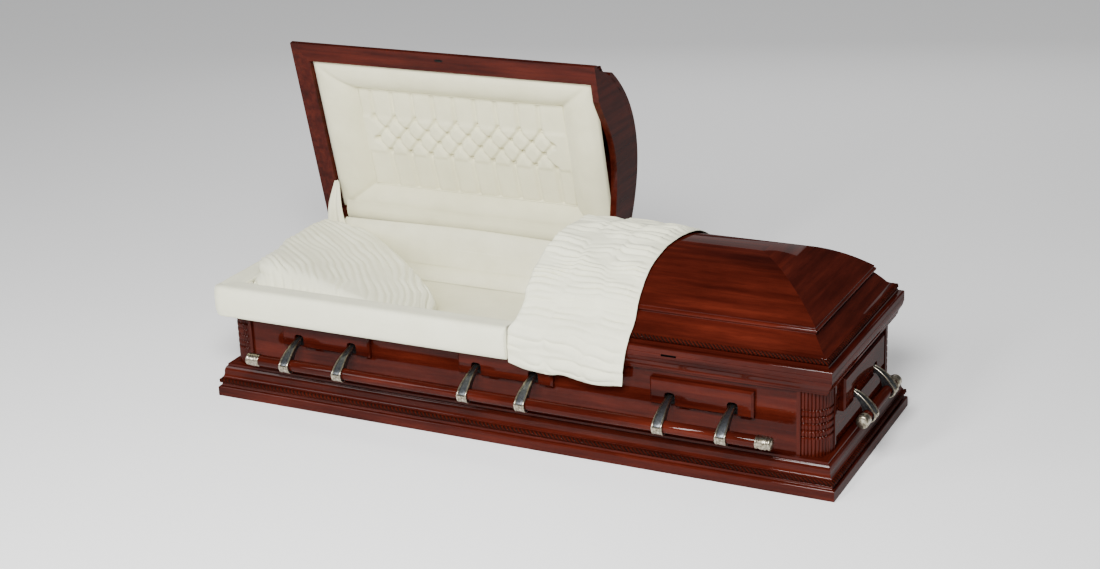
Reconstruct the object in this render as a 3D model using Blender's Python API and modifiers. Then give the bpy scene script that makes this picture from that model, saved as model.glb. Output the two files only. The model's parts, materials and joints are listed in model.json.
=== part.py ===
"""Half-couch wooden funeral casket with its head lid raised.

Metres, +Z up. +X points to the foot end and -Y to the side that is seen from the front.
The origin is the centre of the underside.
"""
import math

import bmesh
import bpy
from mathutils import Vector

# Overall sizes
BASE_LENGTH = 2.130
BASE_WIDTH = 0.730
BASE_HEIGHT = 0.108
RIM_HEIGHT = 0.3742
CLEARANCE = 0.0003

# Base moulding, as insets from the outermost edge and heights
NOSE_HEIGHT = 0.034
NOSE_ROUND = 0.007
BEAD_HEIGHT = 0.047
BEAD_RADIUS = 0.006
BEAD_INSET = 0.010
OGEE_FOOT_INSET = 0.015
OGEE_FOOT_HEIGHT = 0.058
OGEE_SHOULDER_INSET = 0.018
OGEE_SHOULDER_HEIGHT = 0.083
OGEE_TOP_INSET = 0.023
OGEE_TOP_HEIGHT = 0.097
SHELF_INSET = 0.028
SHELF_FOOT_HEIGHT = 0.100
BASE_RING_WIDTH = 0.070
FLOOR_THICKNESS = 0.018

# Walls and corner posts
WALL_INSET = 0.038
POST_WIDTH = 0.090
POST_STRIP = 0.012
POST_STRIP_STEP = 0.003
PANEL_SETBACK = 0.008
PANEL_THICKNESS = 0.020
REED_COUNT = 9
REED_DEPTH = 0.004
COLLAR_COUNT = 4
COLLAR_PITCH = 0.021
COLLAR_GROOVE = 0.004
COLLAR_TOP_DROP = 0.060
POST_BACK = 0.0558

# Top rail
RAIL_DEPTH = 0.062
RAIL_INSET = 0.015
RAIL_WIDTH = 0.051
RAIL_FACE = 0.016
RAIL_SLOPE = 0.015
RAIL_FILLET = 0.004
RAIL_FOOT = 0.008
RAIL_HOLLOW = 0.45
LATCH_FROM_SPLIT = 0.451
LATCH_WIDTH = 0.024
LATCH_HEIGHT = 0.009
LATCH_DEPTH = 0.008

# Lids
SPLIT_X = 0.086
SPLIT_GAP = 0.008
LID_SEAT = 0.0004
LIP_INSET = RAIL_INSET
LIP_HEIGHT = 0.020
LID_BEAD_INSET = 0.022
LID_BEAD_FOOT = 0.026
LID_BEAD_RADIUS = 0.0085
LID_WALL = 0.018
LID_RIM_WIDTH = 0.063
COVE_INSET = 0.044
COVE_HEIGHT = 0.058
LOWER_PANEL_INSET = 0.075
LOWER_PANEL_HEIGHT = 0.095
STEP_HEIGHT = 0.024
STEP_OVERHANG = 0.005
UPPER_PANEL_INSET = 0.135
UPPER_PANEL_HEIGHT = 0.162
UPPER_PANEL_KNEE = 0.42
UPPER_PANEL_SWELL = 0.12
CROWN_HEIGHT = 0.235
CROWN_POWER = 0.8
CROWN_STEPS = 5
OPEN_ANGLE = math.radians(77.5)
HINGE_SETBACK = 0.0055
HINGE_RADIUS = 0.0045
HINGE_LEAF_HEIGHT = 0.014
HINGE_LEAF_THICKNESS = 0.0027
HEADER_THICKNESS = 0.022
ARCH_FOOT = 0.124
ARCH_HEIGHT = 0.066
ARCH_POWER = 1.2
ARCH_STEPS = 8

# Handles
PLATE_PROUD = 0.019
PLATE_BEVEL = 0.006
PLATE_LENGTH = 0.325
PLATE_HEIGHT = 0.084
PLATE_DROP = 0.0222
PLATE_END_GAP = 0.128
END_PLATE_LENGTH = 0.380
END_PLATE_DROP = 0.0022
ARM_SPACING = 0.197
END_ARM_SPACING = 0.194
PIVOT_RISE = 0.026
PIVOT_DEPTH = 0.0095
ROD_RADIUS = 0.003
ROD_OVERHANG = 0.026
NOTCH_WIDTH = 0.034
NOTCH_RISE = 0.018
NOTCH_ROUND = 0.010
BAR_REACH = 0.0865
BAR_DROP = 0.056
BAR_RADIUS = 0.019
BAR_END_INSET = 0.129
TIP_LENGTH = 0.050
TIP_LIP = 0.0015
END_BAR_REACH = 0.0535
END_BAR_DROP = 0.063
END_BAR_RADIUS = 0.016
END_BAR_HALF_LENGTH = 0.172
END_TIP_LENGTH = 0.034
END_TIP_LIP = 0.004
ARM_TOP_WIDTH = 0.018
ARM_FOOT_WIDTH = 0.027
ARM_EYE = 0.0065
ARM_CUP_WALL = 0.0055
ROUND_SIDES = 10

# Upholstery
LINING_THICKNESS = 0.010
LINING_TOP_GAP = 0.006
MATTRESS_DROP = 0.1242
MATTRESS_ROUND = 0.020
MATTRESS_SHOULDER = 0.3
PAD_DEPTH = 0.045
PAD_PANEL_DEPTH = 0.058
PAD_THICKNESS = 0.020
PAD_ROLL_HEAD = 0.134
PAD_ROLL_SPLIT = 0.140
PAD_ROLL_FRONT = 0.115
PAD_ROLL_BACK = 0.087
BAND_END_GAP = 0.062
BAND_BACK_INSET = 0.020
BAND_DROP = 0.0862
BAND_RISE = 0.019
BAND_PROUD = 0.028
BAND_HEAD_RISE = 0.007
BAND_HEAD_PROUD = 0.010
BAND_INNER = 0.013
BAND_HEM = 0.006
BAND_HEM_ROUND = 0.010
BAND_BULGE_RISE = 0.045
BAND_TOP_ROUND = 0.027
PILLOW_LENGTH = 0.585
PILLOW_WIDTH = 0.540
PILLOW_HEAD_RISE = 0.215
PILLOW_FOOT_RISE = 0.095
PILLOW_SEAM = 0.30
PILLOW_EDGE_SHARE = 0.60
PILLOW_CORNER = 0.09
PILLOW_TUCK = 0.52
PILLOW_TUCK_START = 0.2
PILLOW_Y = 0.008
PILLOW_GAP = 0.002
THROW_THICKNESS = 0.006
THROW_GAP = 0.0015
THROW_TOP_WIDTH = 0.380
THROW_LIP_WIDTH = 0.3585
THROW_HEM_WIDTH = 0.320
THROW_TAIL = 0.053
THROW_SIDE_GAP = 0.004
THROW_DROP_LEFT = 0.0976
THROW_DROP_RIGHT = 0.1126
THROW_TAIL_GAP = 0.008

# Sizes worked out from those above
HALF_LENGTH = BASE_LENGTH / 2
HALF_WIDTH = BASE_WIDTH / 2
POST_END = HALF_LENGTH - WALL_INSET
POST_SIDE = HALF_WIDTH - WALL_INSET
PANEL_END = POST_END - PANEL_SETBACK
PANEL_SIDE = POST_SIDE - PANEL_SETBACK
RAIL_BOTTOM = RIM_HEIGHT - RAIL_DEPTH
LID_END = HALF_LENGTH - LIP_INSET
LID_SIDE = HALF_WIDTH - LIP_INSET
LID_BOTTOM = RIM_HEIGHT + LID_SEAT
HINGE_Y = LID_SIDE + HINGE_SETBACK
HINGE = Vector((0, HINGE_Y, LID_BOTTOM))
WALL_BOTTOM = BASE_HEIGHT + CLEARANCE
WALL_TOP = RAIL_BOTTOM - CLEARANCE
LATCH_X = SPLIT_X + LATCH_FROM_SPLIT
PLATE_TOP = RAIL_BOTTOM - PLATE_DROP
PLATE_BOTTOM = PLATE_TOP - PLATE_HEIGHT
END_PLATE_TOP = RAIL_BOTTOM - END_PLATE_DROP
PLATE_PITCH = POST_END - POST_WIDTH - PLATE_END_GAP - PLATE_LENGTH / 2
PIVOT_HEIGHT = PLATE_BOTTOM + PIVOT_RISE
BAR_HALF_LENGTH = POST_END - BAR_END_INSET
MATTRESS_TOP = RIM_HEIGHT - MATTRESS_DROP

for old in list(bpy.data.objects):
    bpy.data.objects.remove(old)

part = bpy.data.collections.new("funeral_casket")
cutters = bpy.data.collections.new("cutters")
bpy.context.scene.collection.children.link(part)
bpy.context.scene.collection.children.link(cutters)


def make_material(name, colour, roughness, metallic=0.0):
    """Plain Principled material."""
    material = bpy.data.materials.new(name)
    material.use_nodes = True
    shader = material.node_tree.nodes["Principled BSDF"]
    shader.inputs["Base Color"].default_value = (*colour, 1)
    shader.inputs["Roughness"].default_value = roughness
    shader.inputs["Metallic"].default_value = metallic
    return material


CHERRY = make_material("lacquered cherry", (0.22, 0.035, 0.012), 0.12)
IVORY = make_material("ivory crepe", (0.80, 0.77, 0.69), 0.85)
BRASS = make_material("antique brass", (0.50, 0.45, 0.36), 0.28, 1.0)
STEEL = make_material("blackened steel", (0.03, 0.03, 0.03), 0.45, 1.0)


def add_object(name, bm, material, parent=None, collection=part):
    """Close a bmesh into a named object with its faces pointing out."""
    bmesh.ops.remove_doubles(bm, verts=bm.verts, dist=1e-6)
    bmesh.ops.recalc_face_normals(bm, faces=bm.faces)
    mesh = bpy.data.meshes.new(name)
    bm.to_mesh(mesh)
    bm.free()
    mesh.materials.append(material)
    obj = bpy.data.objects.new(name, mesh)
    collection.objects.link(obj)
    obj.parent = parent
    return obj


def add_empty(name, location, rotation=(0, 0, 0)):
    """Empty on a joint's axis, which carries a moving body."""
    empty = bpy.data.objects.new(name, None)
    part.objects.link(empty)
    empty.location = location
    empty.rotation_euler = rotation
    return empty


def smooth(obj, angle=35):
    """Round piece: smooth shading with its real corners kept sharp."""
    obj.data.shade_smooth()
    obj.data.set_sharp_from_angle(angle=math.radians(angle))
    return obj


def loft(name, rings, material, parent=None, looped=False):
    """Skin over closed rings of equal point count, capped unless the rings form a loop."""
    bm = bmesh.new()
    rows = [[bm.verts.new(point) for point in ring] for ring in rings]
    count = len(rows[0])
    pairs = list(zip(rows, rows[1:]))
    if looped:
        pairs.append((rows[-1], rows[0]))
    for low, high in pairs:
        for i in range(count):
            j = (i + 1) % count
            bm.faces.new((low[i], low[j], high[j], high[i]))
    if not looped:
        bm.faces.new(rows[0])
        bm.faces.new(rows[-1])
    return add_object(name, bm, material, parent)


def box(name, low, high, material, parent=None, collection=part):
    """Block between two corners."""
    low, high = Vector(low), Vector(high)
    bm = bmesh.new()
    bmesh.ops.create_cube(bm, size=1)
    bmesh.ops.scale(bm, vec=high - low, verts=bm.verts)
    bmesh.ops.translate(bm, vec=(high + low) / 2, verts=bm.verts)
    return add_object(name, bm, material, parent, collection)


def prism(name, outline, direction, material, parent=None, collection=part):
    """Flat outline, given as points, pushed along a direction."""
    bm = bmesh.new()
    face = bm.faces.new([bm.verts.new(point) for point in outline])
    pushed = bmesh.ops.extrude_face_region(bm, geom=[face])
    moved = [item for item in pushed["geom"] if isinstance(item, bmesh.types.BMVert)]
    bmesh.ops.translate(bm, vec=direction, verts=moved)
    return add_object(name, bm, material, parent, collection)


def arc(centre, radius, start, end, steps):
    """Points of an arc in a plane, with its angles in degrees."""
    angles = [math.radians(start + (end - start) * i / steps) for i in range(steps + 1)]
    return [(centre[0] + radius * math.cos(a), centre[1] + radius * math.sin(a)) for a in angles]


def offset(path, distance):
    """Open path moved sideways to its right, with mitred corners."""
    points = [Vector(point) for point in path]
    moved = []
    for i, point in enumerate(points):
        before = (point - points[i - 1]).normalized() if i else (points[1] - point).normalized()
        after = (points[i + 1] - point).normalized() if i + 1 < len(points) else before
        normals = [Vector((d.y, -d.x)) for d in (before, after)]
        middle = (normals[0] + normals[1]).normalized()
        moved.append(point + middle * distance / middle.dot(normals[0]))
    return [tuple(point) for point in moved]


def rectangle(inset, height, half_x=HALF_LENGTH, half_y=HALF_WIDTH):
    """Level rectangle, in from the outermost edge."""
    x, y = half_x - inset, half_y - inset
    return [(-x, -y, height), (x, -y, height), (x, y, height), (-x, y, height)]


def chamfered(inset, height):
    """Level rectangle whose corners are cut off inside the corner posts."""
    x, y = HALF_LENGTH - inset, HALF_WIDTH - inset
    wall = WALL_INSET + PANEL_SETBACK + PANEL_THICKNESS
    leg = WALL_INSET + POST_WIDTH - wall + 4 * CLEARANCE - (2 - math.sqrt(2)) * (inset - wall)
    points = [(-x + leg, -y), (x - leg, -y), (x, -y + leg), (x, y - leg)]
    points += [(x - leg, y), (-x + leg, y), (-x, y - leg), (-x, -y + leg)]
    return [(u, v, height) for u, v in points]


def cut(obj, cutter):
    """Take a cutter away from a piece."""
    modifier = obj.modifiers.new("cut " + cutter.name, "BOOLEAN")
    modifier.operation = "DIFFERENCE"
    modifier.object = cutter


def hide_cutter(obj):
    """A cutter is a guide, not a piece."""
    obj.hide_render = True
    obj.display_type = "WIRE"
    return obj


def build_base():
    """Moulded base frame with the floor board inside it."""
    nose = arc((NOSE_ROUND, NOSE_HEIGHT - NOSE_ROUND), NOSE_ROUND, 180, 100, 3)
    bead = arc((BEAD_INSET, BEAD_HEIGHT), BEAD_RADIUS, 250, 110, 4)
    profile = [(0, 0)]
    profile += nose
    profile += bead
    profile += [
        (OGEE_FOOT_INSET, OGEE_FOOT_HEIGHT),
        (OGEE_SHOULDER_INSET, OGEE_SHOULDER_HEIGHT),
        (OGEE_TOP_INSET, OGEE_TOP_HEIGHT),
        (SHELF_INSET, SHELF_FOOT_HEIGHT),
        (SHELF_INSET, BASE_HEIGHT),
        (BASE_RING_WIDTH, BASE_HEIGHT),
        (BASE_RING_WIDTH, 0),
    ]
    rings = [rectangle(inset, height) for inset, height in profile]
    loft("base_moulding", rings, CHERRY, looped=True)
    x = HALF_LENGTH - BASE_RING_WIDTH - CLEARANCE
    y = HALF_WIDTH - BASE_RING_WIDTH - CLEARANCE
    box("floor_board", (-x, -y, 0), (x, y, FLOOR_THICKNESS), CHERRY)


def build_walls():
    """Side and end panels between the corner posts."""
    x = POST_END - POST_WIDTH - CLEARANCE
    y = POST_SIDE - POST_WIDTH - CLEARANCE
    inner_x = PANEL_END - PANEL_THICKNESS
    inner_y = PANEL_SIDE - PANEL_THICKNESS
    box("front_panel", (-x, -PANEL_SIDE, WALL_BOTTOM), (x, -inner_y, WALL_TOP), CHERRY)
    box("back_panel", (-x, inner_y, WALL_BOTTOM), (x, PANEL_SIDE, WALL_TOP), CHERRY)
    box("head_panel", (-PANEL_END, -y, WALL_BOTTOM), (-inner_x, y, WALL_TOP), CHERRY)
    box("foot_panel", (inner_x, -y, WALL_BOTTOM), (PANEL_END, y, WALL_TOP), CHERRY)


def reeded_quarter(groove):
    """Quarter column of reeds, as insets from the post's two outer faces."""
    centre = POST_WIDTH - POST_STRIP
    radius = centre - POST_STRIP_STEP - groove
    points = []
    for i in range(2 * REED_COUNT + 1):
        angle = math.pi / 2 * i / (2 * REED_COUNT)
        reach = radius if i % 2 else radius - REED_DEPTH
        points.append((centre - reach * math.sin(angle), centre - reach * math.cos(angle)))
    return points


def post_outline(groove):
    """Plan of a corner post, as insets from its two outer faces."""
    inner = PANEL_SETBACK + PANEL_THICKNESS
    outline = [(POST_WIDTH, 0), (POST_WIDTH - POST_STRIP, 0)]
    outline += reeded_quarter(groove)
    outline += [(0, POST_WIDTH - POST_STRIP), (0, POST_WIDTH)]
    outline += [(inner, POST_WIDTH), (POST_BACK, POST_BACK), (POST_WIDTH, inner)]
    return outline


def collar_levels():
    """Heights of a post's rings, each with how deep the column is grooved there."""
    levels = [(WALL_BOTTOM, 0.0)]
    top = WALL_TOP - COLLAR_TOP_DROP
    for i in range(COLLAR_COUNT, -1, -1):
        height = top - i * COLLAR_PITCH
        levels += [(height - COLLAR_GROOVE, 0.0), (height, COLLAR_GROOVE), (height + COLLAR_GROOVE, 0.0)]
    levels.append((WALL_TOP, 0.0))
    return levels


def build_posts():
    """Four corner posts, each with a reeded quarter column bound by grooves."""
    for end, sign_x in (("head", -1), ("foot", 1)):
        for side, sign_y in (("front", -1), ("back", 1)):
            rings = []
            for height, groove in collar_levels():
                outline = post_outline(groove)
                rings.append([(sign_x * (POST_END - a), sign_y * (POST_SIDE - b), height) for a, b in outline])
            loft(end + "_" + side + "_post", rings, CHERRY)


def build_rail():
    """Top rail whose moulded face leans in towards its foot, with the latch slot."""
    face_foot = RIM_HEIGHT - RAIL_FACE
    slope_foot = RAIL_BOTTOM + RAIL_FOOT
    profile = [
        (RAIL_INSET, RIM_HEIGHT),
        (RAIL_INSET, face_foot),
        (RAIL_INSET + RAIL_SLOPE * RAIL_HOLLOW, slope_foot + (face_foot - slope_foot) * RAIL_HOLLOW),
        (RAIL_INSET + RAIL_SLOPE, slope_foot),
        (RAIL_INSET + RAIL_SLOPE + RAIL_FILLET, slope_foot),
        (RAIL_INSET + RAIL_SLOPE + RAIL_FILLET, RAIL_BOTTOM),
        (RAIL_INSET + RAIL_WIDTH, RAIL_BOTTOM),
        (RAIL_INSET + RAIL_WIDTH, RIM_HEIGHT),
    ]
    rail = loft("top_rail", [rectangle(inset, z) for inset, z in profile], CHERRY, looped=True)
    low = (LATCH_X - LATCH_WIDTH / 2, -LID_SIDE - LATCH_DEPTH, RIM_HEIGHT - LATCH_HEIGHT)
    high = (LATCH_X + LATCH_WIDTH / 2, -LID_SIDE + LATCH_DEPTH, RIM_HEIGHT + LATCH_HEIGHT)
    cut(rail, hide_cutter(box("latch_cutter", low, high, STEEL, collection=cutters)))


def crown_curve(start, top):
    """Quarter wave from the upper panel up to the ridge, as insets and heights."""
    points = []
    for i in range(1, CROWN_STEPS + 1):
        share = i / CROWN_STEPS
        inset = start[0] + (LID_SIDE - start[0]) * share
        rise = math.sin(math.pi / 2 * share) ** CROWN_POWER
        points.append((inset, start[1] + (top - start[1]) * rise))
    return points


def lid_main_lines():
    """Panels and step of a lid's outer face, below the crown."""
    knee_inset = LOWER_PANEL_INSET + (UPPER_PANEL_INSET - LOWER_PANEL_INSET) * UPPER_PANEL_KNEE
    step_top = LOWER_PANEL_HEIGHT + STEP_HEIGHT
    knee_height = step_top + (UPPER_PANEL_HEIGHT - step_top) * (UPPER_PANEL_KNEE + UPPER_PANEL_SWELL)
    return [
        (COVE_INSET, COVE_HEIGHT),
        (LOWER_PANEL_INSET, LOWER_PANEL_HEIGHT),
        (LOWER_PANEL_INSET - STEP_OVERHANG, LOWER_PANEL_HEIGHT + STEP_HEIGHT * 0.4),
        (LOWER_PANEL_INSET - STEP_OVERHANG * 0.5, step_top),
        (knee_inset, knee_height),
        (UPPER_PANEL_INSET, UPPER_PANEL_HEIGHT),
    ]


def lid_bead(start, steps):
    """Half-round bead above a lid's lip, from an angle near its foot to its top."""
    return arc((LID_BEAD_INSET, LID_BEAD_FOOT + LID_BEAD_RADIUS), LID_BEAD_RADIUS, start, 110, steps)


def lid_outer():
    """Outer face of a lid from its lip to its ridge, as insets and heights."""
    path = [(0, 0), (0, LIP_HEIGHT * 0.7), (LIP_HEIGHT * 0.3, LIP_HEIGHT)]
    path += lid_bead(250, 4)
    path += lid_main_lines()
    return path + crown_curve(path[-1], CROWN_HEIGHT)


def lid_inner():
    """Inner face of a lid, one wall thickness in, from the ridge down to its rim frame."""
    lines = lid_main_lines()
    path = [lines[0], lines[1], lines[3], lines[4], lines[5]]
    path += crown_curve(lines[-1], CROWN_HEIGHT)
    inner = offset(path, LID_WALL)
    inner[0] = (LID_RIM_WIDTH, inner[0][1])
    inner[-1] = (LID_SIDE, CROWN_HEIGHT - LID_WALL)
    return [(LID_RIM_WIDTH, 0)] + inner


def lid_rows(path, split, end):
    """Each point of a path as a line along the front, round the hipped end and along the back."""
    rows = []
    sign = 1 if end > split else -1
    for inset, height in path:
        x, y = end - sign * inset, LID_SIDE - inset
        row = [(split, -y, height), (x, -y, height), (x, y, height), (split, y, height)]
        rows.append([Vector(point) + Vector((0, 0, LID_BOTTOM)) - HINGE for point in row])
    return rows


def build_lid(name, split, end, parent):
    """Hollow hipped lid, open below and at its split end."""
    bm = bmesh.new()
    outer = [[bm.verts.new(p) for p in row] for row in lid_rows(lid_outer(), split, end)]
    inner = [[bm.verts.new(p) for p in row] for row in lid_rows(lid_inner(), split, end)]
    for rows in (outer, inner, [outer[0], inner[0]]):
        for low, high in zip(rows, rows[1:]):
            for i in range(3):
                bm.faces.new((low[i], low[i + 1], high[i + 1], high[i]))
    rim = [row[0] for row in outer] + [row[3] for row in reversed(outer[:-1])]
    rim += [row[3] for row in inner[:-1]] + [row[0] for row in reversed(inner)]
    bm.faces.new(rim)
    return add_object(name, bm, CHERRY, parent)


def arch_height(inset):
    """Height of a header's arched opening at an inset from the lip."""
    share = (inset - ARCH_FOOT) / (LID_SIDE - ARCH_FOOT)
    return ARCH_HEIGHT * math.sin(math.pi / 2 * max(share, 0)) ** ARCH_POWER


def build_header(name, split, inward, parent):
    """Board across a lid's split end, with a low arch cut in its foot."""
    top = offset(lid_inner()[1:], CLEARANCE)
    top[0] = (LID_RIM_WIDTH + CLEARANCE, top[0][1])
    half = [(LID_RIM_WIDTH + CLEARANCE, 0)] + top[:-1]
    left = [(inset - LID_SIDE, height) for inset, height in half]
    ridge = [(0, CROWN_HEIGHT - LID_WALL - CLEARANCE)]
    right = [(-y, height) for y, height in reversed(left)]
    insets = [ARCH_FOOT + (LID_SIDE - ARCH_FOOT) * i / ARCH_STEPS for i in range(ARCH_STEPS + 1)]
    arch = [(inset - LID_SIDE, arch_height(inset)) for inset in insets]
    under = [(-y, height) for y, height in arch] + list(reversed(arch[:-1]))
    points = left + ridge + right + under
    outline = [Vector((split, y, height + LID_BOTTOM)) - HINGE for y, height in points]
    prism(name, outline, (inward * HEADER_THICKNESS, 0, 0), CHERRY, parent)


def pad_rectangle(corners, share, height):
    """Rectangle between a lid pad's outer edge and its panel, at a height over the rim plane."""
    (x0, y0, x1, y1), (u0, v0, u1, v1) = corners
    ax, bx = x0 + (u0 - x0) * share, x1 + (u1 - x1) * share
    ay, by = y0 + (v0 - y0) * share, y1 + (v1 - y1) * share
    z = LID_BOTTOM + height
    return [Vector(point) - HINGE for point in ((ax, ay, z), (bx, ay, z), (bx, by, z), (ax, by, z))]


def build_pad(name, low_x, high_x, roll_low, roll_high, parent):
    """Padded lining of a lid: a roll round a recessed panel."""
    edge = LID_SIDE - LID_RIM_WIDTH - CLEARANCE
    outer = (low_x, -edge, high_x, edge)
    panel = (low_x + roll_low, PAD_ROLL_FRONT - edge, high_x - roll_high, edge - PAD_ROLL_BACK)
    corners = (outer, panel)
    below = [(0, 0.014), (0.2, 0.005), (0.6, 0.008), (1, PAD_DEPTH), (1.06, PAD_PANEL_DEPTH)]
    above = [(1.06, PAD_PANEL_DEPTH + PAD_THICKNESS), (0.9, PAD_DEPTH + PAD_THICKNESS), (0, 0.034)]
    rings = [pad_rectangle(corners, share, height) for share, height in reversed(below)]
    rings += [pad_rectangle(corners, share, height) for share, height in reversed(above)]
    loft(name, rings, IVORY, parent)


def build_lids():
    """Raised head lid and closed foot lid, each with its header and lining."""
    head = add_empty("head_lid_axis", HINGE, (-OPEN_ANGLE, 0, 0))
    foot = add_empty("foot_lid_axis", HINGE)
    head_split = SPLIT_X - SPLIT_GAP / 2
    foot_split = SPLIT_X + SPLIT_GAP / 2
    build_lid("head_lid_shell", head_split, -LID_END, head)
    build_lid("foot_lid_shell", foot_split, LID_END, foot)
    build_header("head_lid_header", head_split, -1, head)
    build_header("foot_lid_header", foot_split, 1, foot)
    rim_end = LID_END - LID_RIM_WIDTH - CLEARANCE
    head_pad_end = head_split - HEADER_THICKNESS - CLEARANCE
    foot_pad_end = foot_split + HEADER_THICKNESS + CLEARANCE
    build_pad("head_lid_lining", -rim_end, head_pad_end, PAD_ROLL_HEAD, PAD_ROLL_SPLIT, head)
    build_pad("foot_lid_lining", foot_pad_end, rim_end, PAD_ROLL_SPLIT, PAD_ROLL_HEAD, foot)
    build_hinge("head_lid_hinge", -LID_END + LID_RIM_WIDTH, head_split)
    build_hinge("foot_lid_hinge", foot_split, LID_END - LID_RIM_WIDTH)
    return foot


def build_hinge(name, low_x, high_x):
    """Long hinge on the back of the rail: a leaf below a barrel on the lid's axis."""
    leaf_in = LID_SIDE + CLEARANCE
    leaf_out = leaf_in + HINGE_LEAF_THICKNESS
    start = math.degrees(math.acos((leaf_in + 0.001 - HINGE_Y) / HINGE_RADIUS))
    end = -math.degrees(math.acos((leaf_out - HINGE_Y) / HINGE_RADIUS))
    outline = [(leaf_in, RIM_HEIGHT - HINGE_LEAF_HEIGHT), (leaf_in, RIM_HEIGHT)]
    outline += arc((HINGE_Y, LID_BOTTOM), HINGE_RADIUS, start, end, 7)
    outline.append((leaf_out, RIM_HEIGHT - HINGE_LEAF_HEIGHT))
    points = [(low_x, y, z) for y, z in outline]
    smooth(prism(name, points, (high_x - low_x, 0, 0), BRASS))


def true_radius(radius):
    """Radius at the corners of a bore whose flats lie outside a round of this radius."""
    return (radius + CLEARANCE) / math.cos(math.pi / ROUND_SIDES)


def cylinder(name, radius, low_x, high_x, y, z, material, collection=part):
    """Round bar along X."""
    bm = bmesh.new()
    bmesh.ops.create_cone(
        bm, cap_ends=True, segments=ROUND_SIDES, radius1=radius, radius2=radius, depth=high_x - low_x
    )
    obj = add_object(name, bm, material, collection=collection)
    obj.rotation_euler = (0, math.pi / 2, 0)
    obj.location = ((low_x + high_x) / 2, y, z)
    return obj


def notch_outline(x):
    """Front view of a notch that is open at the plate's foot and round at its top corners."""
    half = NOTCH_WIDTH / 2
    corner = half - NOTCH_ROUND
    top = PIVOT_HEIGHT + NOTCH_RISE - NOTCH_ROUND
    foot = PLATE_BOTTOM - NOTCH_ROUND
    points = [(x + half, foot)]
    points += arc((x + corner, top), NOTCH_ROUND, 0, 90, 2)
    points += arc((x - corner, top), NOTCH_ROUND, 90, 180, 2)
    points.append((x - half, foot))
    return points


def build_plate(name, centre, length, top, spacing):
    """Raised plate on the wall with two handle notches, and the rod that the arms turn on.

    It is built as on a wall in the plane Y = 0 that faces -Y, with its centre at X = centre.
    """
    half = length / 2

    def ring(inset, depth):
        low, high = PLATE_BOTTOM + inset, top - inset
        left, right = centre - half + inset, centre + half - inset
        return [(left, depth, low), (right, depth, low), (right, depth, high), (left, depth, high)]

    proud = -PLATE_PROUD - CLEARANCE
    rings = [ring(0, -CLEARANCE), ring(0, proud + PLATE_BEVEL), ring(PLATE_BEVEL, proud)]
    plate = loft(name + "_plate", rings, CHERRY)
    pieces = [plate]
    arms_at = (centre - spacing / 2, centre + spacing / 2)
    for number, x in enumerate(arms_at, 1):
        outline = [(u, -2 * PLATE_PROUD, z) for u, z in notch_outline(x)]
        cutter_name = "%s_notch_cutter_%d" % (name, number)
        cutter = prism(cutter_name, outline, (0, 4 * PLATE_PROUD, 0), STEEL, collection=cutters)
        cut(plate, hide_cutter(cutter))
        pieces.append(cutter)
    low, high = arms_at[0] - ROD_OVERHANG, arms_at[1] + ROD_OVERHANG
    rod = cylinder(name + "_rod", ROD_RADIUS, low, high, -PIVOT_DEPTH, PIVOT_HEIGHT, STEEL)
    bore_low, bore_high = low - CLEARANCE, high + CLEARANCE
    bore = true_radius(ROD_RADIUS)
    bore_name = name + "_bore_cutter"
    cutter = cylinder(bore_name, bore, bore_low, bore_high, -PIVOT_DEPTH, PIVOT_HEIGHT, STEEL, cutters)
    cut(plate, hide_cutter(cutter))
    smooth(rod)
    pieces += [rod, cutter]
    return pieces, arms_at, cutter


def bezier(start, control, end, steps):
    """Points of a quadratic curve after its start."""
    points = []
    for i in range(1, steps + 1):
        t = i / steps
        blend = [start[k] * (1 - t) ** 2 + 2 * control[k] * t * (1 - t) + end[k] * t * t for k in (0, 1)]
        points.append(tuple(blend))
    return points


def arm_mesh(name, reach, drop, bar_radius):
    """Curved arm from the rod to the bar, seen from the side, that widens to its cup."""
    bar = (-reach, -drop)
    cup = bar_radius + ARM_CUP_WALL
    outer = arc(bar, cup, 160, 285, 5)
    inner = arc(bar, true_radius(bar_radius), 285, 20, 8)
    eye = arc((0, 0), ARM_EYE, 270, 450, 4)
    shoulder = (bar[0] + cup * math.cos(math.radians(28)), bar[1] + cup * math.sin(math.radians(28)))
    outline = eye
    outline += bezier(eye[-1], (-reach * 0.86, ARM_EYE * 0.6), outer[0], 4)
    outline += outer[1:] + inner
    outline += bezier(shoulder, (-reach * 0.60, -ARM_EYE * 1.6), eye[0], 3)[:-1]
    bm = bmesh.new()
    face = bm.faces.new([bm.verts.new((-0.5, y, z)) for y, z in outline])
    pushed = bmesh.ops.extrude_face_region(bm, geom=[face])
    moved = [item for item in pushed["geom"] if isinstance(item, bmesh.types.BMVert)]
    bmesh.ops.translate(bm, vec=(1, 0, 0), verts=moved)
    for vert in bm.verts:
        share = min(max(-vert.co.y / reach, 0), 1)
        vert.co.x *= ARM_TOP_WIDTH + (ARM_FOOT_WIDTH - ARM_TOP_WIDTH) * share
    bmesh.ops.recalc_face_normals(bm, faces=bm.faces)
    mesh = bpy.data.meshes.new(name)
    bm.to_mesh(mesh)
    bm.free()
    mesh.materials.append(BRASS)
    return mesh


def bar_profile(radius, half_length, tip, lip):
    """Radii and places of a bar with a metal tip at each end, from one end to the other."""
    fat = radius + lip
    end = [(0, 0), (fat * 0.6, tip * 0.04), (fat * 0.92, tip * 0.18), (fat, tip * 0.45)]
    end += [(fat, tip * 0.92), (radius, tip)]
    first = [(r, half_length - drop) for r, drop in end]
    return first + [(r, -z) for r, z in reversed(first)]


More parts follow.
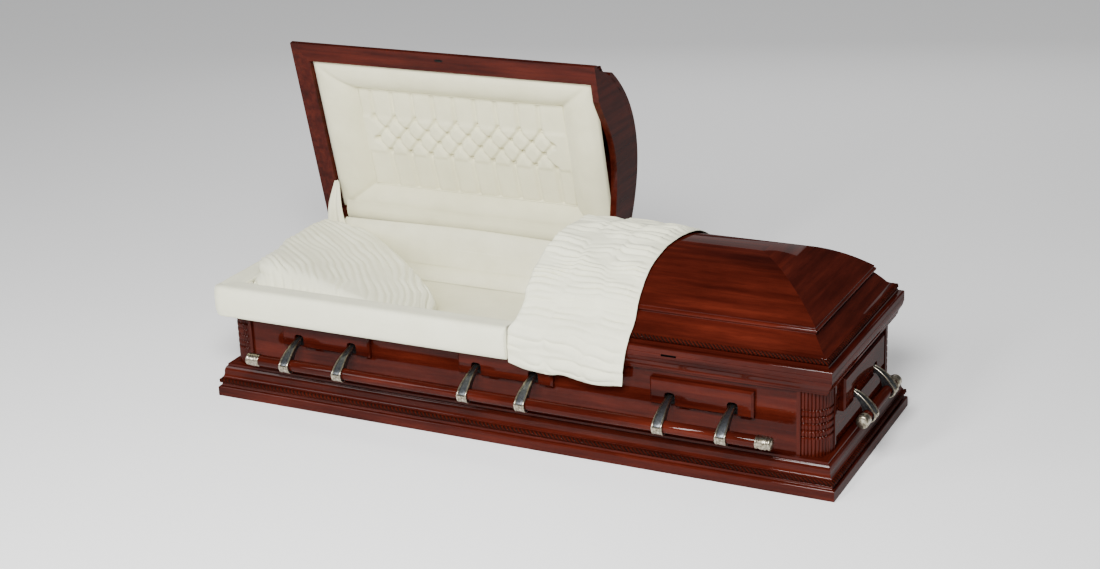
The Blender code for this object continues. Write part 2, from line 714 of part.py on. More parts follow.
def build_bar(name, profile):
    """Turned bar along X."""
    mesh = bpy.data.meshes.new(name)
    edges = [(i, i + 1) for i in range(len(profile) - 1)]
    mesh.from_pydata([(r, 0, z) for r, z in profile], edges, [])
    mesh.materials.append(CHERRY)
    obj = bpy.data.objects.new(name, mesh)
    part.objects.link(obj)
    screw = obj.modifiers.new("turn", "SCREW")
    screw.axis = "Z"
    screw.steps = ROUND_SIDES
    screw.render_steps = ROUND_SIDES
    screw.use_merge_vertices = True
    screw.merge_threshold = 0.00001
    screw.use_smooth_shade = True
    obj.rotation_euler = (0, math.pi / 2, 0)
    return obj


def build_handle(side, centres, plate_length, plate_top, spacing, bar_sizes, wall, turn):
    """Plates, rods, arms and bar of one side, built facing -Y and then turned about Z."""
    reach, drop, radius, half_length, tip, lip = bar_sizes
    mount = add_empty(side + "_wall", (0, 0, 0), (0, 0, turn))
    axis = add_empty(side + "_bar_axis", (0, -wall - PIVOT_DEPTH, PIVOT_HEIGHT))
    axis.parent = mount
    mesh = arm_mesh(side + "_arm", reach, drop, radius)
    count = 0
    for number, centre in enumerate(centres, 1):
        name = side if len(centres) == 1 else "%s_%d" % (side, number)
        pieces, arms_at, bore = build_plate(name, centre, plate_length, plate_top, spacing)
        for piece in pieces:
            piece.parent = mount
            piece.location.y -= wall
        for x in arms_at:
            count += 1
            arm = bpy.data.objects.new("%s_arm_%d" % (side, count), mesh)
            part.objects.link(arm)
            arm.parent = axis
            arm.location = (x, 0, 0)
            cut(arm, bore)
    bar = build_bar(side + "_bar", bar_profile(radius, half_length, tip, lip))
    bar.parent = axis
    bar.location = (0, -reach, -drop)


def build_handles():
    """Long swing bar on each side and a short one on each end."""
    long_bar = (BAR_REACH, BAR_DROP, BAR_RADIUS, BAR_HALF_LENGTH, TIP_LENGTH, TIP_LIP)
    short_bar = (
        END_BAR_REACH, END_BAR_DROP, END_BAR_RADIUS, END_BAR_HALF_LENGTH, END_TIP_LENGTH, END_TIP_LIP
    )
    centres = (-PLATE_PITCH, 0.0, PLATE_PITCH)
    side_plate = (centres, PLATE_LENGTH, PLATE_TOP, ARM_SPACING, long_bar, PANEL_SIDE)
    end_plate = ((0.0,), END_PLATE_LENGTH, END_PLATE_TOP, END_ARM_SPACING, short_bar, PANEL_END)
    build_handle("front", *side_plate, 0)
    build_handle("back", *side_plate, math.pi)
    build_handle("foot", *end_plate, math.pi / 2)
    build_handle("head", *end_plate, -math.pi / 2)


def build_interior():
    """Lined well, mattress, pillow and the padded band over the rim at the head end."""
    inset = RAIL_INSET + RAIL_WIDTH + CLEARANCE
    low, high = FLOOR_THICKNESS + CLEARANCE, RIM_HEIGHT - LINING_TOP_GAP
    step = BASE_RING_WIDTH + CLEARANCE
    inner = step + LINING_THICKNESS
    profile = [(step, low), (step, WALL_BOTTOM), (inset, WALL_BOTTOM + 0.004), (inset, high)]
    profile += [(inner, high), (inner, low)]
    loft("body_lining", [chamfered(*point) for point in profile], IVORY, looped=True)
    edge = inner + CLEARANCE
    soft = MATTRESS_ROUND
    rings = [chamfered(edge, low), chamfered(edge, MATTRESS_TOP - soft)]
    shoulder = soft * MATTRESS_SHOULDER
    rings += [chamfered(edge + shoulder, MATTRESS_TOP - shoulder), chamfered(edge + soft, MATTRESS_TOP)]
    loft("mattress", rings, IVORY)
    build_pillow()
    build_band()


def build_pillow():
    """Large pillow, thick against the head end, with its back edge drawn in towards its front corner."""
    bm = bmesh.new()
    bmesh.ops.create_cube(bm, size=1)
    bmesh.ops.subdivide_edges(bm, edges=bm.edges, cuts=3, use_grid_fill=True)
    for vert in bm.verts:
        u, v, w = vert.co
        along = u + 0.5
        rise = PILLOW_HEAD_RISE + (PILLOW_FOOT_RISE - PILLOW_HEAD_RISE) * along
        full = math.sqrt(max(1 - abs(2 * u) ** 4, 0) * max(1 - abs(2 * v) ** 4, 0))
        side = (1 - PILLOW_SEAM) if w > 0 else PILLOW_SEAM
        thickness = PILLOW_EDGE_SHARE + (1 - PILLOW_EDGE_SHARE) * full
        height = rise * (PILLOW_SEAM + 2 * w * side * thickness)
        corner = 1 - PILLOW_CORNER * (2 * u * 2 * v) ** 2
        tuck = PILLOW_TUCK * max(along - PILLOW_TUCK_START, 0) ** 2 * (v + 0.5)
        vert.co = Vector((u * PILLOW_LENGTH * corner, v * PILLOW_WIDTH * corner - tuck, height))
    pillow = add_object("pillow", bm, IVORY)
    end = HALF_LENGTH - BASE_RING_WIDTH - LINING_THICKNESS - PILLOW_GAP
    pillow.location = (PILLOW_LENGTH / 2 - end, PILLOW_Y, MATTRESS_TOP + CLEARANCE)
    smooth(pillow, 80)


def band_section(proud, rise):
    """Section of the rim band, as distances out from the lid's edge and heights."""
    foot, top = RIM_HEIGHT - BAND_DROP, RIM_HEIGHT + rise
    inner = -RAIL_WIDTH - BAND_INNER
    seat = RIM_HEIGHT + CLEARANCE
    section = [(CLEARANCE, seat), (CLEARANCE, foot + BAND_HEM)]
    section += [(proud * 0.5, foot), (proud * 0.92, foot + BAND_HEM_ROUND)]
    section += [(proud, foot + BAND_BULGE_RISE), (proud * 0.88, top - BAND_TOP_ROUND)]
    section += [(proud * 0.5, top - BAND_HEM), (-BAND_INNER, top), (inner * 0.65, top - BAND_HEM / 3)]
    return section + [(inner * 0.95, (top + seat) / 2), (inner, seat)]


def build_band():
    """Padded band over the rim, thick along the front and thinner round the head end."""
    front = band_section(BAND_PROUD, BAND_RISE)
    head = band_section(BAND_HEAD_PROUD, BAND_HEAD_RISE)
    end_x, end_y = SPLIT_X - BAND_END_GAP, LID_SIDE - BAND_BACK_INSET
    rings = [
        [(end_x, -LID_SIDE - d, z) for d, z in front],
        [(-LID_END - a, -LID_SIDE - b, (y + z) / 2) for (a, y), (b, z) in zip(head, front)],
        [(-LID_END - d, end_y, z) for d, z in head],
    ]
    loft("rim_band", rings, IVORY)


def build_throw(parent):
    """Cloth laid over the head end of the foot lid, with a tail that hangs down the front."""
    lines = lid_main_lines()
    seat = [(0, -0.001), (0, LIP_HEIGHT)] + lid_bead(190, 3)
    seat += [lines[0], (lines[2][0] - 0.001, lines[1][1] - 0.004), lines[3], lines[4], lines[5]]
    seat += crown_curve(lines[5], CROWN_HEIGHT)
    under = offset(seat, -THROW_GAP)
    over = offset(seat, -THROW_GAP - THROW_THICKNESS)
    under[-1] = (LID_SIDE, CROWN_HEIGHT + THROW_GAP)
    over[-1] = (LID_SIDE, CROWN_HEIGHT + THROW_GAP + THROW_THICKNESS)
    left_top = SPLIT_X + SPLIT_GAP / 2 + THROW_SIDE_GAP
    right_top, right_lip = SPLIT_X + THROW_TOP_WIDTH, SPLIT_X + THROW_LIP_WIDTH
    tail = SPLIT_X - THROW_TAIL
    lip = LID_BOTTOM
    rings = []

    def add_ring(y_in, y_out, z_in, z_out, left, right, left_drop=0.0):
        ring = [(left, y_in, z_in + left_drop), (right, y_in, z_in)]
        ring += [(right, y_out, z_out), (left, y_out, z_out + left_drop)]
        rings.append([Vector(point) - HINGE for point in ring])

    near = -LID_SIDE - THROW_GAP
    far = near - THROW_THICKNESS
    hem = lip - THROW_DROP_RIGHT
    left_rise = THROW_DROP_RIGHT - THROW_DROP_LEFT
    tail_top, tail_turn = lip - 2 * THROW_TAIL_GAP, lip - THROW_TAIL_GAP
    add_ring(near, far, hem, hem, tail, SPLIT_X + THROW_HEM_WIDTH, left_rise)
    add_ring(near, far, tail_top, tail_top, tail, right_lip)
    add_ring(near, far, tail_turn, tail_turn, left_top, right_lip)
    count = len(under)
    for i in range(1, count):
        right = right_lip + (right_top - right_lip) * i / (count - 1)
        (t_in, h_in), (t_out, h_out) = under[i], over[i]
        add_ring(t_in - LID_SIDE, t_out - LID_SIDE, lip + h_in, lip + h_out, left_top, right)
    for i in range(count - 2, 2, -1):
        (t_in, h_in), (t_out, h_out) = under[i], over[i]
        add_ring(LID_SIDE - t_in, LID_SIDE - t_out, lip + h_in, lip + h_out, left_top, right_top)
    loft("throw", rings, IVORY, parent)


build_base()
build_walls()
build_posts()
build_rail()
foot_lid = build_lids()
build_handles()
build_interior()
build_throw(foot_lid)
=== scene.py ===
"""Looks of the half-couch casket: moulded cherry wood, antique metal handles and ivory upholstery.

Metres, +Z up. +X points to the foot end, and the opening side faces -Y.
"""
import json
import math

import bmesh
import bpy
from mathutils import Matrix, Vector, noise


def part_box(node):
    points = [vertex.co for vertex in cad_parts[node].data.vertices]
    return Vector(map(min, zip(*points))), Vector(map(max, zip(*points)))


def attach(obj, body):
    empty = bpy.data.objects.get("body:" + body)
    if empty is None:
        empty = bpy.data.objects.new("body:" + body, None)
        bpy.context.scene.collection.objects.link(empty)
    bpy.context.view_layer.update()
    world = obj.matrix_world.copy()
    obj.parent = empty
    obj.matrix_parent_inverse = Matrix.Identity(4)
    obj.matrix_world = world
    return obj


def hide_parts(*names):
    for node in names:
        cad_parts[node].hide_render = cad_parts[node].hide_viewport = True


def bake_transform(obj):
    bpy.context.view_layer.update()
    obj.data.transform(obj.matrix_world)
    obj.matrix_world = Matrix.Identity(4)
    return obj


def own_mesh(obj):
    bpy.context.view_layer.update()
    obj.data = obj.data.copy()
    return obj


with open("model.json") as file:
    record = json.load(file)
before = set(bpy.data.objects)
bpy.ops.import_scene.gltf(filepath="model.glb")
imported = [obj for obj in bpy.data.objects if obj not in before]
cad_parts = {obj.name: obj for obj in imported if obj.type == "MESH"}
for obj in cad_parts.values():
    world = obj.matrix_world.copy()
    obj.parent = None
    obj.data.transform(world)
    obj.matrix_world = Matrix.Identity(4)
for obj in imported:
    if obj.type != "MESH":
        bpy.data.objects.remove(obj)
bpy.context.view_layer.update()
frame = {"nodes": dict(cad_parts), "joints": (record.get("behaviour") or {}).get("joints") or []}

# Sizes read from the frame
BASE_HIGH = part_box("base_moulding")[1]
RAIL_LOW, RAIL_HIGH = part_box("top_rail")
LID_LOW, LID_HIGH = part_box("foot_lid_shell")
POST_LOW, POST_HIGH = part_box("foot_back_post")
PAD_LOW, PAD_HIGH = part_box("foot_lid_lining")
PILLOW_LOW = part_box("pillow")[0]
BAND_LOW, BAND_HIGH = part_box("rim_band")
MATTRESS_LOW, MATTRESS_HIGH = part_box("mattress")
LINING_LOW, LINING_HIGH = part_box("body_lining")
JOINTS = {joint["name"]: joint for joint in frame["joints"]}

HALF_LENGTH, HALF_WIDTH, BASE_TOP = BASE_HIGH
RIM = RAIL_HIGH.z
RAIL_BOTTOM = RAIL_LOW.z
RAIL_INSET = HALF_LENGTH - RAIL_HIGH.x
LID_END, LID_SIDE = LID_HIGH.x, LID_HIGH.y
LID_BOTTOM = LID_LOW.z
CROWN_HEIGHT = LID_HIGH.z - LID_LOW.z
FOOT_SPLIT = LID_LOW.x
SPLIT_GAP = 0.008
HEAD_SPLIT = FOOT_SPLIT - SPLIT_GAP
HINGE = Vector(JOINTS["head_lid_hinge"]["pos_m"])
OPEN_ANGLE = math.radians(JOINTS["head_lid_hinge"]["range_deg"][1])
OPEN = Matrix.Translation(HINGE) @ Matrix.Rotation(-OPEN_ANGLE, 4, "X") @ Matrix.Translation(-HINGE)

# Outlines of mouldings are insets from an outer face and heights, or drops below the rim
EASE = 0.0012
NOSE_ROUND = 0.007
NOSE_HEIGHT = 0.034
BASE_SEAT = [(0.0095, 0.0345), (0.0098, 0.0418), (0.0125, 0.0430), (0.0125, 0.0600), (0.0115, 0.0610),
             (0.0115, 0.0630)]
BASE_OGEE = ((0.0140, 0.0635), (0.0225, 0.0965), 0.9)
BASE_SHELF = [(0.0235, 0.0975), (0.0245, 0.1000), (0.0280, 0.1000), (0.0280, BASE_TOP)]
BASE_RING_WIDTH = 0.070
RAIL_LIP = [(0, 0), (0, 0.0145), (0.0016, 0.0165)]
RAIL_OGEE = ((0.0016, 0.0180), (0.0150, 0.0535), -0.55)
RAIL_STEP_IN = 0.0190
RAIL_STEP_HEIGHT = 0.0080
RAIL_RING_WIDTH = 0.051
LATCH_X = 0.552
LATCH_HALF = 0.024
LATCH_HEIGHT = 0.0060
LATCH_DEPTH = 0.008

# Lids
LID_EASE = 0.0010
LID_LIP = 0.0140
LID_LIP_ROUND = 0.006
LID_SEAT = [(0.0150, 0.0205), (0.0165, 0.0285), (0.0245, 0.0292), (0.0245, 0.0468), (0.0266, 0.0476),
            (0.0284, 0.0490)]
LID_COVE = (0.0300, 0.0500)
LID_PANEL = (0.0450, 0.0590)
LID_PANEL_TOP = (0.0740, 0.0940)
NOSING_INSET = 0.0765
NOSING_HEIGHT = 0.1055
NOSING_ROUND = 0.0065
LID_WALL = 0.018
LID_INNER_FOOT = [(0.044, 0.058), (0.075, 0.095)]
LID_RIM_WIDTH = LID_SIDE - PAD_HIGH.y
STEP_INSET, STEP_TOP = 0.0745, 0.117
CROWN_POWER = 2.05
CROWN_STEPS = 26
KEEPER_X = -0.481
KEEPER_INSET = 0.022
KEEPER_HALF_LENGTH = 0.016
KEEPER_HALF_WIDTH = 0.005
KEEPER_THICKNESS = 0.003
LID_HEADER = 0.0223

# Rope beads, each with its inset, height and radius, and the length of its lobes
BASE_BEAD, BASE_LOBE = (0.0105, 0.0515, 0.0084), 0.0140
LID_BEAD, LID_LOBE = (0.0225, 0.0380, 0.0090), 0.0125
ROPE_SIDES = 12
ROPE_CUT = 0.42
# Groove depth beyond which a bead's faces are painted near-black, as painted shade
ROPE_SHADE_DEPTH = 0.44
LOBE_STEPS = 8

# Corner posts
POST_REACH = 0.128
POST_WIDTH = POST_HIGH.x - (HALF_LENGTH - POST_REACH)
POST_STRIP = 0.012
POST_STEP = 0.003
POST_CHAMFER = 0.001
POST_WALL = 0.028
POST_CORNER = 0.0558
POST_LEVELS = 92
POST_POWER = 2.5
REED_COUNT = 11
REED_STEPS = 8
REED_DEPTH = 0.0042
COLLAR_COUNT = 5
COLLAR_PITCH = 0.021
COLLAR_DROP = 0.060
COLLAR_GROOVE = 0.0045
COLLAR_HALF = 0.0042

WELD = 1e-5


class Skin:
    """Points and faces of one mesh, gathered grid by grid."""

    def __init__(self):
        self.points = []
        self.faces = []
        self.slots = []

    def grid(self, rows, slot=0, wrap=False):
        """Skin over rows of points, each closed on itself if it wraps."""
        start, count = len(self.points), len(rows[0])
        for row in rows:
            self.points += [tuple(point) for point in row]
        for i in range(len(rows) - 1):
            low, high = start + i * count, start + (i + 1) * count
            for j in range(count if wrap else count - 1):
                k = (j + 1) % count
                self.faces.append((low + j, low + k, high + k, high + j))
                self.slots.append(slot)

    def face(self, row, slot=0):
        """One flat face."""
        start = len(self.points)
        self.points += [tuple(point) for point in row]
        self.faces.append(tuple(range(start, start + len(row))))
        self.slots.append(slot)

    def tube(self, rows, slot=0):
        """Closed tube with flat ends."""
        self.grid(rows, slot, wrap=True)
        self.face(rows[0], slot)
        self.face(rows[-1], slot)

    def mould(self, side, path, slot):
        """Straight moulding along one side of a frame."""
        self.grid([[side(t, inset, z) for t in (0, 0.5, 1)] for inset, z in path], slot)


def make(name, skin, materials, angle=32, matrix=None):
    """Turn a skin into an object, welded, facing out and smooth but for its real edges."""
    mesh = bpy.data.meshes.new(name)
    mesh.from_pydata(skin.points, [], skin.faces)
    for material in materials:
        mesh.materials.append(material)
    mesh.polygons.foreach_set("material_index", skin.slots)
    bm = bmesh.new()
    bm.from_mesh(mesh)
    bmesh.ops.remove_doubles(bm, verts=bm.verts, dist=WELD)
    bmesh.ops.recalc_face_normals(bm, faces=bm.faces)
    bm.to_mesh(mesh)
    bm.free()
    if matrix is not None:
        mesh.transform(matrix)
    mesh.shade_smooth()
    mesh.set_sharp_from_angle(angle=math.radians(angle))
    obj = bpy.data.objects.new(name, mesh)
    bpy.context.scene.collection.objects.link(obj)
    return obj


def settle(obj, body, slot, *nodes):
    """Say what a piece moves with and which nodes it stands for; its slot, where its finish would come from,
    is not used.
    """
    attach(obj, body)
    if nodes:
        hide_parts(*nodes)


def limited(value, low=0, high=1):
    """Value kept between two limits."""
    return min(max(value, low), high)


def circle(count):
    """Cosines and sines at even steps round a circle."""
    angles = [2 * math.pi * i / count for i in range(count)]
    return [(math.cos(a), math.sin(a)) for a in angles]


def quarter(steps):
    """Cosines and sines at even steps over a quarter circle."""
    return circle(4 * steps)[:steps + 1]


def net(down, along, place):
    """Rows of points from a function of two shares, down the rows and along them."""
    return [[place(j / down, i / along) for i in range(along + 1)] for j in range(down + 1)]


def arc(centre, radius, start, end, steps):
    """Points of an arc in a plane, with its angles in degrees."""
    angles = [math.radians(start + (end - start) * i / steps) for i in range(steps + 1)]
    return [(centre[0] + radius * math.cos(a), centre[1] + radius * math.sin(a)) for a in angles]


def bezier(start, control, end, steps):
    """Points of a quadratic curve after its start."""
    points = []
    for t in [i / steps for i in range(1, steps + 1)]:
        first, middle, last = (1 - t) ** 2, 2 * t * (1 - t), t * t
        points.append(tuple(first * start[k] + middle * control[k] + last * end[k] for k in (0, 1)))
    return points


def eased(path, radius):
    """Path with each of its corners rounded a little."""
    points = [Vector(point) for point in path]
    result = [tuple(points[0])]
    for before, corner, after in zip(points, points[1:], points[2:]):
        first, second = before - corner, after - corner
        if first.length < 1e-9 or second.length < 1e-9 or first.angle(second) > math.radians(155):
            result.append(tuple(corner))
            continue
        start = corner + first.normalized() * min(radius, first.length * 0.45)
        end = corner + second.normalized() * min(radius, second.length * 0.45)
        result += [tuple(start)] + bezier(start, corner, end, 3)
    return result + [tuple(points[-1])]


def ogee(start, end, sway):
    """S-shaped stretch of a moulding between two points."""
    points = []
    for t in [i / 12 for i in range(13)]:
        lean = t + sway * math.sin(2 * math.pi * t) / (2 * math.pi)
        points.append((start[0] + (end[0] - start[0]) * lean, start[1] + (end[1] - start[1]) * t))
    return points


def rising(start, end, power):
    """Points after the start of a stretch whose height follows a power of its share."""
    return [(start[0] + (end[0] - start[0]) * t, start[1] + (end[1] - start[1]) * t ** power)
            for t in (0.25, 0.5, 0.75, 1)]


def spline(points, steps):
    """Smooth curve through points."""
    points = [Vector(point) for point in points]
    padded = [points[0] * 2 - points[1]] + points + [points[-1] * 2 - points[-2]]
    result = []
    for a, b, c, d in zip(padded, padded[1:], padded[2:], padded[3:]):
        for i in range(steps):
            t = i / steps
            result.append(0.5 * (2 * b + (c - a) * t + (2 * a - 5 * b + 4 * c - d) * t ** 2
                                 + (3 * b - a - 3 * c + d) * t ** 3))
    result.append(points[-1])
    return result


def even(points, count):
    """The same path with points at equal distances."""
    lengths = [0.0]
    for a, b in zip(points, points[1:]):
        lengths.append(lengths[-1] + (b - a).length)
    result, k = [], 0
    for i in range(count + 1):
        reach = lengths[-1] * i / count
        while k < len(points) - 2 and lengths[k + 1] < reach:
            k += 1
        span = max(lengths[k + 1] - lengths[k], 1e-12)
        result.append(points[k].lerp(points[k + 1], min((reach - lengths[k]) / span, 1)))
    return result


def soft(x, y, z=0.0):
    """Smooth noise from about -1 to 1."""
    return noise.noise(Vector((x, y, z)))


def bump(distance, width):
    """One at no distance, falling smoothly to zero."""
    return math.exp(-(distance / width) ** 2)


def direction(points, i):
    """Direction of an open path at one of its points."""
    return (points[min(i + 1, len(points) - 1)] - points[max(i - 1, 0)]).normalized()


def smooth(share):
    """Share from 0 to 1, eased at both ends."""
    return share * share * (3 - 2 * share)


# Materials


def start_material(name, colour, roughness, **sockets):
    """Principled material, with constant values on its own sockets."""
    material = bpy.data.materials.new(name)
    material.use_nodes = True
    shader = material.node_tree.nodes["Principled BSDF"]
    shader.inputs["Base Color"].default_value = (*colour, 1)
    shader.inputs["Roughness"].default_value = roughness
    for key, value in sockets.items():
        shader.inputs[key.replace("_", " ")].default_value = value
    return material, material.node_tree, shader


def texture(tree, kind, scale, stretch=(1, 1, 1), **values):
    """Procedural texture on object coordinates."""
    place = tree.nodes.new("ShaderNodeTexCoord")
    mapping = tree.nodes.new("ShaderNodeMapping")
    mapping.inputs["Scale"].default_value = stretch
    tree.links.new(place.outputs["Object"], mapping.inputs["Vector"])
    node = tree.nodes.new(kind)
    tree.links.new(mapping.outputs["Vector"], node.inputs["Vector"])
    node.inputs["Scale"].default_value = scale
    for key, value in values.items():
        node.inputs[key.replace("_", " ")].default_value = value
    return node


def ramp(tree, source, stops):
    """Colour ramp over a factor."""
    node = tree.nodes.new("ShaderNodeValToRGB")
    tree.links.new(source, node.inputs["Fac"])
    elements = node.color_ramp.elements
    while len(elements) < len(stops):
        elements.new(0.5)
    for element, (place, colour) in zip(elements, stops):
        element.position = place
        element.color = (*colour, 1)
    return node.outputs["Color"]


def mixed(tree, mode, factor, a, b):
    """Blend of two colours."""
    node = tree.nodes.new("ShaderNodeMix")
    node.data_type = "RGBA"
    node.blend_type = mode
    node.inputs[0].default_value = factor
    tree.links.new(a, node.inputs[6])
    tree.links.new(b, node.inputs[7])
    return node.outputs[2]


def add_bump(tree, shader, height, strength, distance):
    """Fine relief from a factor."""
    node = tree.nodes.new("ShaderNodeBump")
    node.inputs["Strength"].default_value = strength
    node.inputs["Distance"].default_value = distance
    tree.links.new(height, node.inputs["Height"])
    tree.links.new(node.outputs["Normal"], shader.inputs["Normal"])


def cherry(name, along, gloss=0.24):
    """Streaky red-brown cherry under a deep gloss lacquer, with its grain along one axis."""
    material, tree, shader = start_material(
        name, (0.1, 0.01, 0.003), 0.35, Coat_Weight=gloss, Coat_Roughness=0.015, Coat_IOR=1.5,
        Specular_IOR_Level=0.0
    )
    stretch = [1.0, 1.0, 1.0]
    stretch["XYZ".index(along)] = 0.06
    streaks = texture(tree, "ShaderNodeTexNoise", 48, stretch, Detail=5, Roughness=0.50, Distortion=0.3)
    clouds = texture(tree, "ShaderNodeTexNoise", 9, [s ** 0.4 for s in stretch], Detail=4, Roughness=0.60)
    pores = texture(tree, "ShaderNodeTexNoise", 520, stretch, Detail=2, Roughness=0.5)
    grain = ramp(tree, streaks.outputs["Fac"], [
        (0.30, (0.032, 0.0038, 0.0020)), (0.50, (0.052, 0.0068, 0.0034)), (0.70, (0.074, 0.0104, 0.0050))
    ])
    tone = ramp(tree, clouds.outputs["Fac"], [(0.34, (0.60, 0.56, 0.56)), (0.62, (1.0, 1.0, 1.0))])
    dots = ramp(tree, pores.outputs["Fac"], [(0.36, (0.7, 0.66, 0.66)), (0.46, (1.0, 1.0, 1.0))])
    colour = mixed(tree, "MULTIPLY", 1.0, grain, tone)
    colour = mixed(tree, "MULTIPLY", 0.5, colour, dots)
    tree.links.new(colour, shader.inputs["Base Color"])
    add_bump(tree, shader, streaks.outputs["Fac"], 0.03, 0.002)
    return material


def cloth(name, low, high, weave=900, sheen=0.25):
    """Fine crepe with a soft sheen."""
    material, tree, shader = start_material(
        name, high, 0.88, Sheen_Weight=sheen, Sheen_Roughness=0.45, Specular_IOR_Level=0.25
    )
    clouds = texture(tree, "ShaderNodeTexNoise", 7, Detail=4, Roughness=0.6)
    crepe = texture(tree, "ShaderNodeTexNoise", weave, Detail=3, Roughness=0.7)
    colour = ramp(tree, clouds.outputs["Fac"], [(0.3, low), (0.7, high)])
    thread = ramp(tree, crepe.outputs["Fac"], [(0.3, (0.90, 0.89, 0.87)), (0.6, (1.0, 1.0, 1.0))])
    tree.links.new(mixed(tree, "MULTIPLY", 0.8, colour, thread), shader.inputs["Base Color"])
    add_bump(tree, shader, crepe.outputs["Fac"], 0.25, 0.0006)
    return material


def metal(name, low, high, roughness):
    """Antique plated metal with cloudy tarnish."""
    material, tree, shader = start_material(name, high, roughness, Metallic=1.0)
    tarnish = texture(tree, "ShaderNodeTexNoise", 120, Detail=5, Roughness=0.65)
    colour = ramp(tree, tarnish.outputs["Fac"], [(0.35, low), (0.62, high)])
    tree.links.new(colour, shader.inputs["Base Color"])
    gloss = ramp(tree, tarnish.outputs["Fac"], [
        (0.3, (roughness + 0.16,) * 3), (0.7, (roughness,) * 3)
    ])
    tree.links.new(gloss, shader.inputs["Roughness"])
    add_bump(tree, shader, tarnish.outputs["Fac"], 0.08, 0.0008)
    return material


def plain(name, low, high, roughness, scale, shine=0.5):
    """Mottled dull surface."""
    material, tree, shader = start_material(name, high, roughness, Specular_IOR_Level=shine)
    spots = texture(tree, "ShaderNodeTexNoise", scale, Detail=4)
    tree.links.new(ramp(tree, spots.outputs["Fac"], [(0.3, low), (0.7, high)]), shader.inputs["Base Color"])
    add_bump(tree, shader, spots.outputs["Fac"], 0.1, 0.0005)
    return material


CHERRY_X = cherry("cherry, grain along X", "X")
CHERRY_Y = cherry("cherry, grain along Y", "Y")
CHERRY_Z = cherry("cherry, grain along Z", "Z")
CARVED = cherry("carved cherry", "X", 0.05)
IVORY = cloth("ivory crepe", (0.740, 0.718, 0.520), (0.840, 0.820, 0.625))
LID_IVORY = cloth("lid crepe", (0.700, 0.675, 0.462), (0.790, 0.765, 0.542))
WHITE = cloth("off-white crepe", (0.800, 0.795, 0.600), (0.870, 0.865, 0.670))
BRIGHT = metal("bright antique metal", (0.12, 0.10, 0.07), (0.46, 0.42, 0.33), 0.22)
DARK = metal("dark antique metal", (0.055, 0.058, 0.062), (0.16, 0.17, 0.18), 0.34)
BLACK = metal("blackened steel", (0.004, 0.004, 0.004), (0.020, 0.020, 0.020), 0.40)
# Near-black, almost unreflecting material that paints shade into the grooves of the rope beads
GROOVE_SHADE = plain("painted groove shade", (0.004, 0.0012, 0.0006), (0.012, 0.0030, 0.0012), 0.60, 60, 0.05)
BOARD = plain("bare plywood", (0.26, 0.16, 0.09), (0.36, 0.24, 0.14), 0.8, 30)

# Materials of a piece with a rope bead, in the order of its slots; the third is the painted shade in the
# bead's grooves
ROPED = [CHERRY_X, CHERRY_Y, GROOVE_SHADE, CARVED]
GROOVE_SHADE_SLOT, CARVED_SLOT = 2, 3


# Mitred mouldings


def frame_sides():
    """Sides of the base's plan, as functions of a share along, an inset and a height, with their slots."""
    sides = []
    for number, (x, y) in enumerate(((0, -1), (1, 0), (0, 1), (-1, 0))):

        def side(t, inset, z, x=x, y=y):
            along = 2 * t - 1
            half_x, half_y = HALF_LENGTH - inset, HALF_WIDTH - inset
            return Vector(((x - y * along) * half_x, (y + x * along) * half_y, z))

        sides.append((side, number % 2))
    return sides


def lid_sides(split, sign):
    """Front, end and back of a lid that ends at the split."""

    def front(t, inset, z):
        end = sign * (LID_END - inset)
        return Vector((split + (end - split) * t, inset - LID_SIDE, LID_BOTTOM + z))

    def end(t, inset, z):
        return Vector((sign * (LID_END - inset), (2 * t - 1) * (LID_SIDE - inset), LID_BOTTOM + z))

    def back(t, inset, z):
        return front(t, inset, z) * Vector((1, -1, 1))

    return ((front, 0), (end, 1), (back, 0))


def rope_groove(lobes, angle):
    """Depth of the twisted groove of a bead, as a share."""
    return 1 - abs(math.sin(math.pi * lobes + 1.5 * angle))


def rope(skin, side, bead, lobe):
    """Twisted bead along one side of a frame, mitred at its ends, with painted shade on the faces deep in its
    grooves.
    """
    inset, height, radius = bead
    length = (side(1, inset, height) - side(0, inset, height)).length
    count = max(round(length / lobe), 1)
    steps = count * LOBE_STEPS
    first = len(skin.faces)
    rows = []
    for i in range(steps + 1):
        t = i / steps
        row = []
        for k, (c, s) in enumerate(circle(ROPE_SIDES)):
            reach = radius * (1 - ROPE_CUT * rope_groove(count * t, 2 * math.pi * k / ROPE_SIDES) ** 1.5)
            row.append(side(t, inset - reach * c, height + reach * s))
        rows.append(row)
    skin.tube(rows, CARVED_SLOT)
    for i in range(steps):
        for k in range(ROPE_SIDES):
            # Faces deep in the grooves take the painted shade
            if rope_groove((i + 0.5) / LOBE_STEPS, 2 * math.pi * (k + 0.5) / ROPE_SIDES) > ROPE_SHADE_DEPTH:
                skin.slots[first + i * ROPE_SIDES + k] = GROOVE_SHADE_SLOT


def build_base():
    """Moulded base frame: a round nose, a rope bead and an ogee up to a flat shelf."""
    nose = (NOSE_ROUND, NOSE_HEIGHT - NOSE_ROUND)
    outer = [(0, 0), (0, nose[1])] + arc(nose, NOSE_ROUND, 170, 90, 6)
    outer += BASE_SEAT + ogee(*BASE_OGEE) + BASE_SHELF
    outer += [(BASE_RING_WIDTH, BASE_TOP), (BASE_RING_WIDTH, 0), (0, 0)]
    profile = eased(outer, EASE)
    skin = Skin()
    for side, slot in frame_sides():
        skin.mould(side, profile, slot)
        rope(skin, side, BASE_BEAD, BASE_LOBE)
    settle(make("moulded_base", skin, ROPED, 28), "root", "cherry", "base_moulding")


